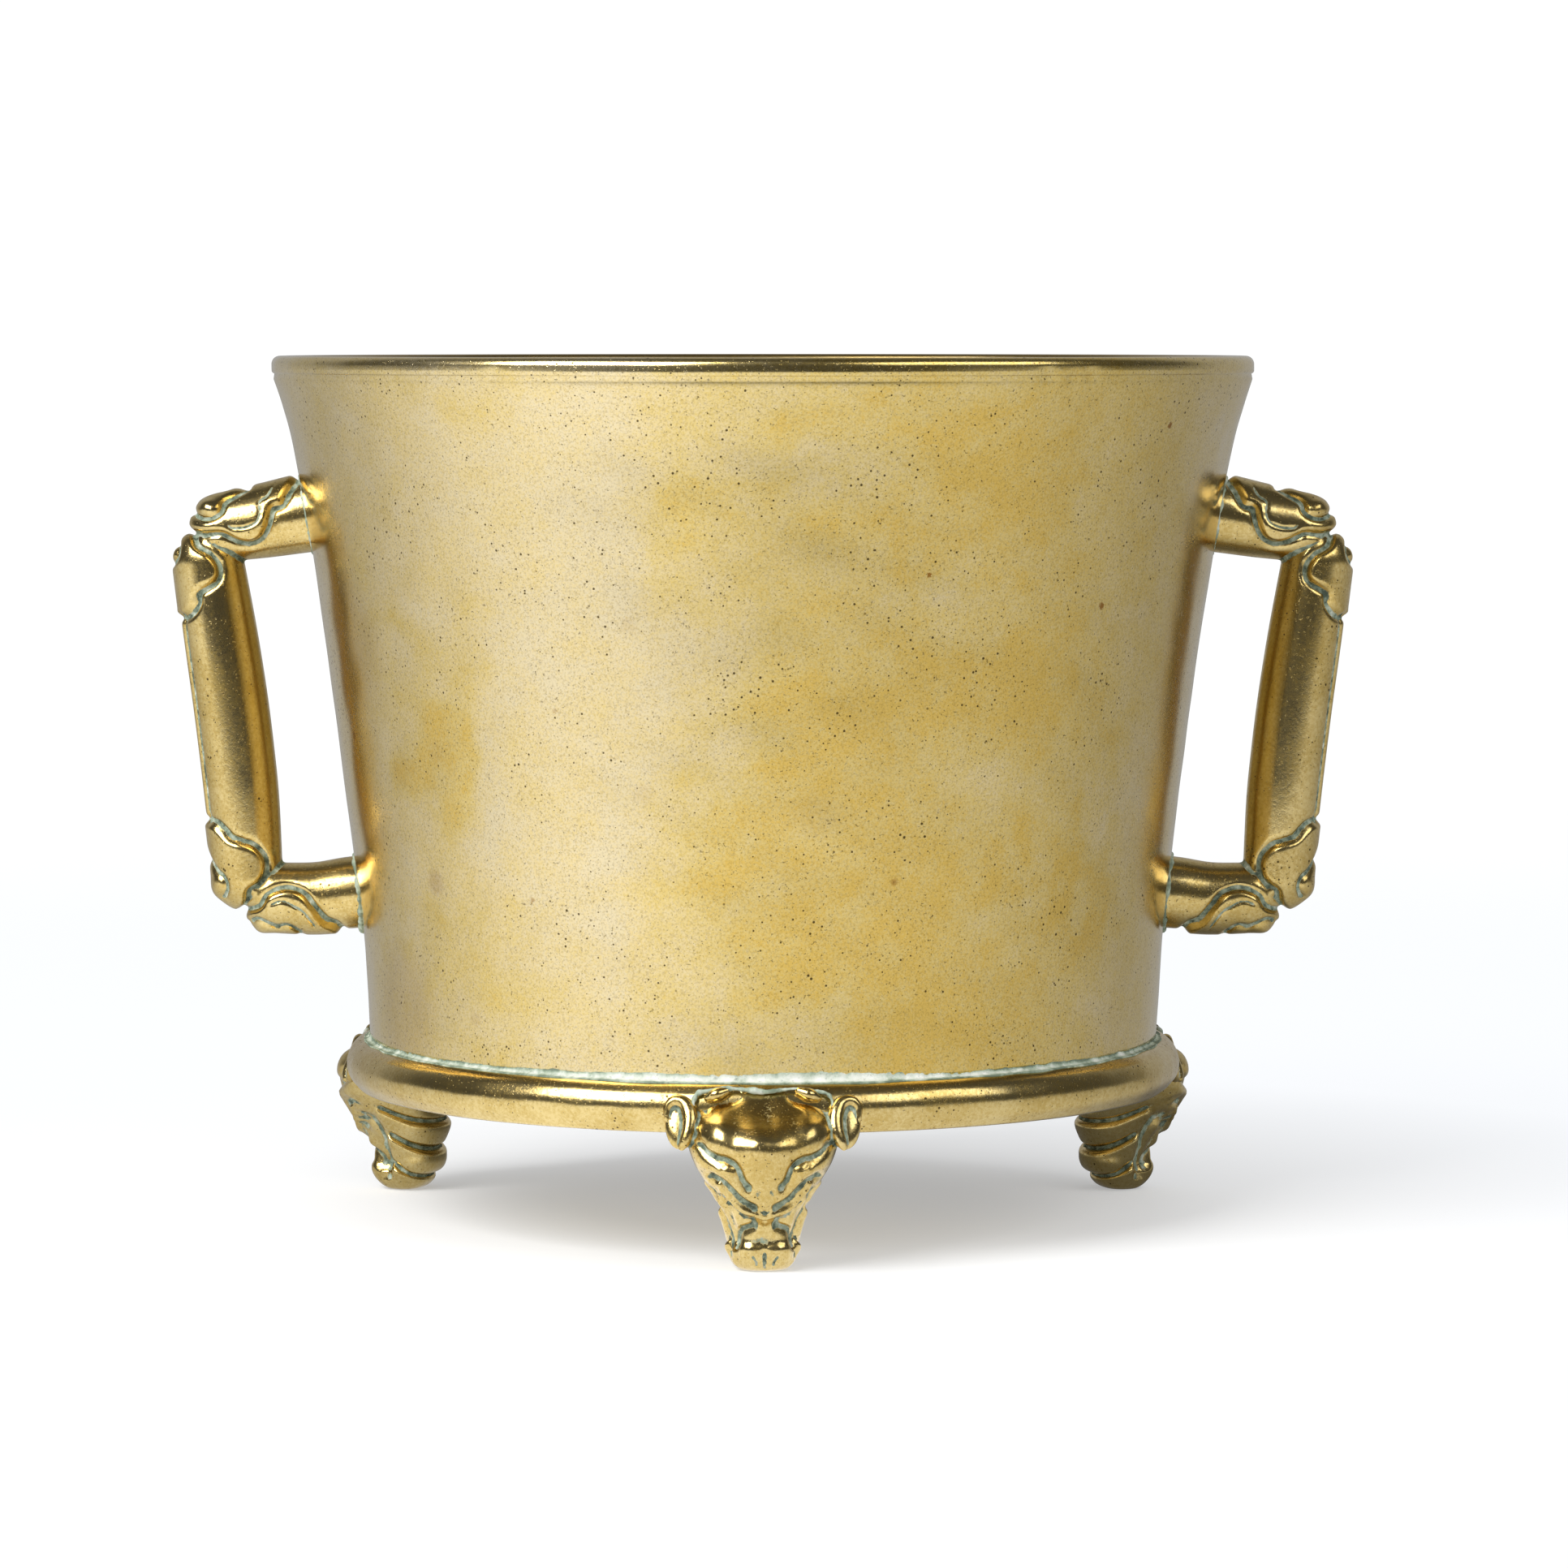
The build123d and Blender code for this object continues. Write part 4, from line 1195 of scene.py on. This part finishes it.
def softBox(name):
    # azimuth is counted from the front, -Y, towards +X
    azimuth, elevation, distance, width, height, watts = studio[name]
    light = bpy.data.lights.new(name, "AREA")
    light.shape = "RECTANGLE"
    light.size, light.size_y = width, height
    light.energy = watts
    a, e = radians(azimuth), radians(elevation)
    spot = Vector((sin(a) * cos(e), -cos(a) * cos(e), sin(e))) * distance
    lamp = bpy.data.objects.new(name, light)
    lamp.location = spot + Vector((0, 0, 0.5 * pot["height"] * toMetres))
    lamp.rotation_euler = (-spot).to_track_quat("-Z", "Y").to_euler()
    bpy.context.collection.objects.link(lamp)


def tableGlow(tree, way):
    # the glow's brightness for a direction: its azimuth picks a place on the ramp
    part = addNode(tree, "SeparateXYZ", {"Vector": way}).node
    toFront = addNode(tree, "Math", {0: part.outputs["Y"], 1: -1.0}, operation="MULTIPLY")
    azimuth = addNode(tree, "Math", {0: part.outputs["X"], 1: toFront}, operation="ARCTAN2")
    share = addNode(tree, "Math", {0: azimuth, 1: 1 / (2 * pi), 2: 0.5}, operation="MULTIPLY_ADD")
    top = studio["glowTop"]
    levels = [(0.5 + angle / 360, (level / top,) * 3 + (1.0,)) for angle, level in studio["tableGlow"]]
    levels = [levels[0], levels[-1]] + levels[1:-1]
    ramp = addNode(tree, "ValToRGB", {"Fac": share}, stops=levels)
    return addNode(tree, "Math", {0: ramp, 1: top},
                   operation="MULTIPLY"), part.outputs["Z"], part.outputs["Y"]


def makeTable():
    # a white table: plain to the camera and to the light it scatters, and a graded glow in the metal
    half = studio["tableHalf"]
    mesh = bpy.data.meshes.new("table")
    mesh.from_pydata([(-half, -half, 0), (half, -half, 0), (half, half, 0), (-half, half, 0)], [],
                     [(0, 1, 2, 3)])
    table = bpy.data.objects.new("table", mesh)
    bpy.context.collection.objects.link(table)
    white, tree, place = newMaterial("whiteTable")
    reach = addNode(tree, "VectorMath", {0: place}, out="Value", operation="LENGTH")
    glow, _, _ = tableGlow(tree, place)
    shade = Vector(studio["shadeMiddle"]) * toMetres
    away = addNode(tree, "VectorMath", {0: place, 1: shade}, out="Value", operation="DISTANCE")
    inner, outer = (size * toMetres for size in studio["shadeSize"])
    clearOf = addNode(tree, "MapRange", {"Value": away, 1: inner, 2: outer, 3: studio["underPot"], 4: 1.0},
                      interpolation_type="SMOOTHSTEP")
    glow = addNode(tree, "Math", {0: glow, 1: clearOf}, operation="MULTIPLY")
    paint = addNode(tree, "BsdfDiffuse", {"Color": studio["tableWhite"]})
    lift = addNode(tree, "Emission", {"Color": studio["liftColour"], "Strength": 1.0})
    (near, far), (start, end) = studio["shadowLift"], studio["liftSpan"]
    share = addNode(tree, "MapRange", {"Value": reach, 1: start, 2: end, 3: near, 4: far})
    lifted = addNode(tree, "MixShader", {0: share, 1: paint, 2: lift})
    shine = addNode(tree, "Emission", {"Color": (1, 1, 1, 1), "Strength": glow})
    rays = addNode(tree, "LightPath").node
    seen = addNode(tree, "MixShader", {0: rays.outputs["Is Camera Ray"], 1: paint, 2: lifted})
    seen = addNode(tree, "MixShader", {0: rays.outputs["Is Glossy Ray"], 1: seen, 2: shine})
    start, end = studio["tableFade"]
    fade = addNode(tree, "MapRange", {"Value": reach, 1: start, 2: end}, interpolation_type="SMOOTHSTEP")
    start, end = studio["tableFront"]
    front = addNode(tree, "SeparateXYZ", {"Vector": place}, out="Y")
    front = addNode(tree, "MapRange", {"Value": front, 1: -start, 2: -end}, interpolation_type="SMOOTHSTEP")
    fade = addNode(tree, "Mix", {0: rays.outputs["Is Glossy Ray"], 2: fade, 3: front})
    clear = addNode(tree, "BsdfTransparent")
    sheet = addNode(tree, "MixShader", {0: fade, 1: seen, 2: clear})
    addNode(tree, "OutputMaterial", {"Surface": sheet})
    mesh.materials.append(white)


def makeWorld():
    world = bpy.data.worlds.new("studio")
    bpy.context.scene.world = world
    world.use_nodes = True
    tree = world.node_tree
    tree.nodes.clear()
    way = addNode(tree, "TexCoord", out="Generated")
    glow, up, back = tableGlow(tree, way)
    low, high = studio["backdropSpan"]
    above = addNode(tree, "MapRange", {"Value": back, 1: low, 2: high, 3: studio["room"],
                                       4: studio["backdrop"]},
                    interpolation_type="SMOOTHSTEP")
    low, high, dark = studio["roomSpan"]
    beside = addNode(tree, "MapRange", {"Value": back, 1: low, 2: high, 3: dark, 4: 1.0})
    glow = addNode(tree, "Math", {0: glow, 1: beside}, operation="MULTIPLY")
    horizon = addNode(tree, "MapRange", {"Value": up, 1: -studio["horizon"], 2: studio["horizon"]},
                      interpolation_type="SMOOTHSTEP")
    room = addNode(tree, "MixRGB", {"Fac": horizon, "Color1": glow, "Color2": above})
    rays = addNode(tree, "LightPath").node
    diffuse = addNode(tree, "Background", {"Color": (1, 1, 1, 1), "Strength": studio["scatter"]})
    glossy = addNode(tree, "Background", {"Color": room, "Strength": 1.0})
    plain = addNode(tree, "Background", {"Color": (1, 1, 1, 1), "Strength": studio["seen"]})
    first = addNode(tree, "MixShader", {0: rays.outputs["Is Glossy Ray"], 1: diffuse, 2: glossy})
    last = addNode(tree, "MixShader", {0: rays.outputs["Is Camera Ray"], 1: first, 2: plain})
    addNode(tree, "OutputWorld", {"Surface": last})


def makeCamera():
    camera = bpy.data.cameras.new("camera")
    camera.lens = studio["lens"]
    camera.sensor_width = studio["sensor"]
    camera.shift_x = studio["shiftX"]
    camera.clip_end = 100
    eye = bpy.data.objects.new("camera", camera)
    eye.location = (0, -studio["distance"] * toMetres, studio["eyeHeight"] * toMetres)
    eye.rotation_euler = (radians(90 - studio["aimDown"]), 0, 0)
    bpy.context.collection.objects.link(eye)
    bpy.context.scene.camera = eye


makeCamera()
makeTable()
makeWorld()
softBox("keyLeft")
softBox("fillRight")
bpy.context.scene.view_settings.view_transform = "Standard"
print("studio made")

wallBrass = patinatedBrassWithPaintedSheen()
castBrass = chasedBrass()
crust = solderCrust()
makeWall(wallBrass)
makeBase(castBrass)
makeBaseSeam(crust)
makeFeet(castBrass)
makeFootSolder(crust)
makeHandles(castBrass)
for side in (-1, 1):
    for level in armSolder:
        makeArmSolder(side, level, crust)
print("arm solder made")
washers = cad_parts["handle_burrs"]
washers.data.materials.clear()
washers.data.materials.append(hammeredBrass())
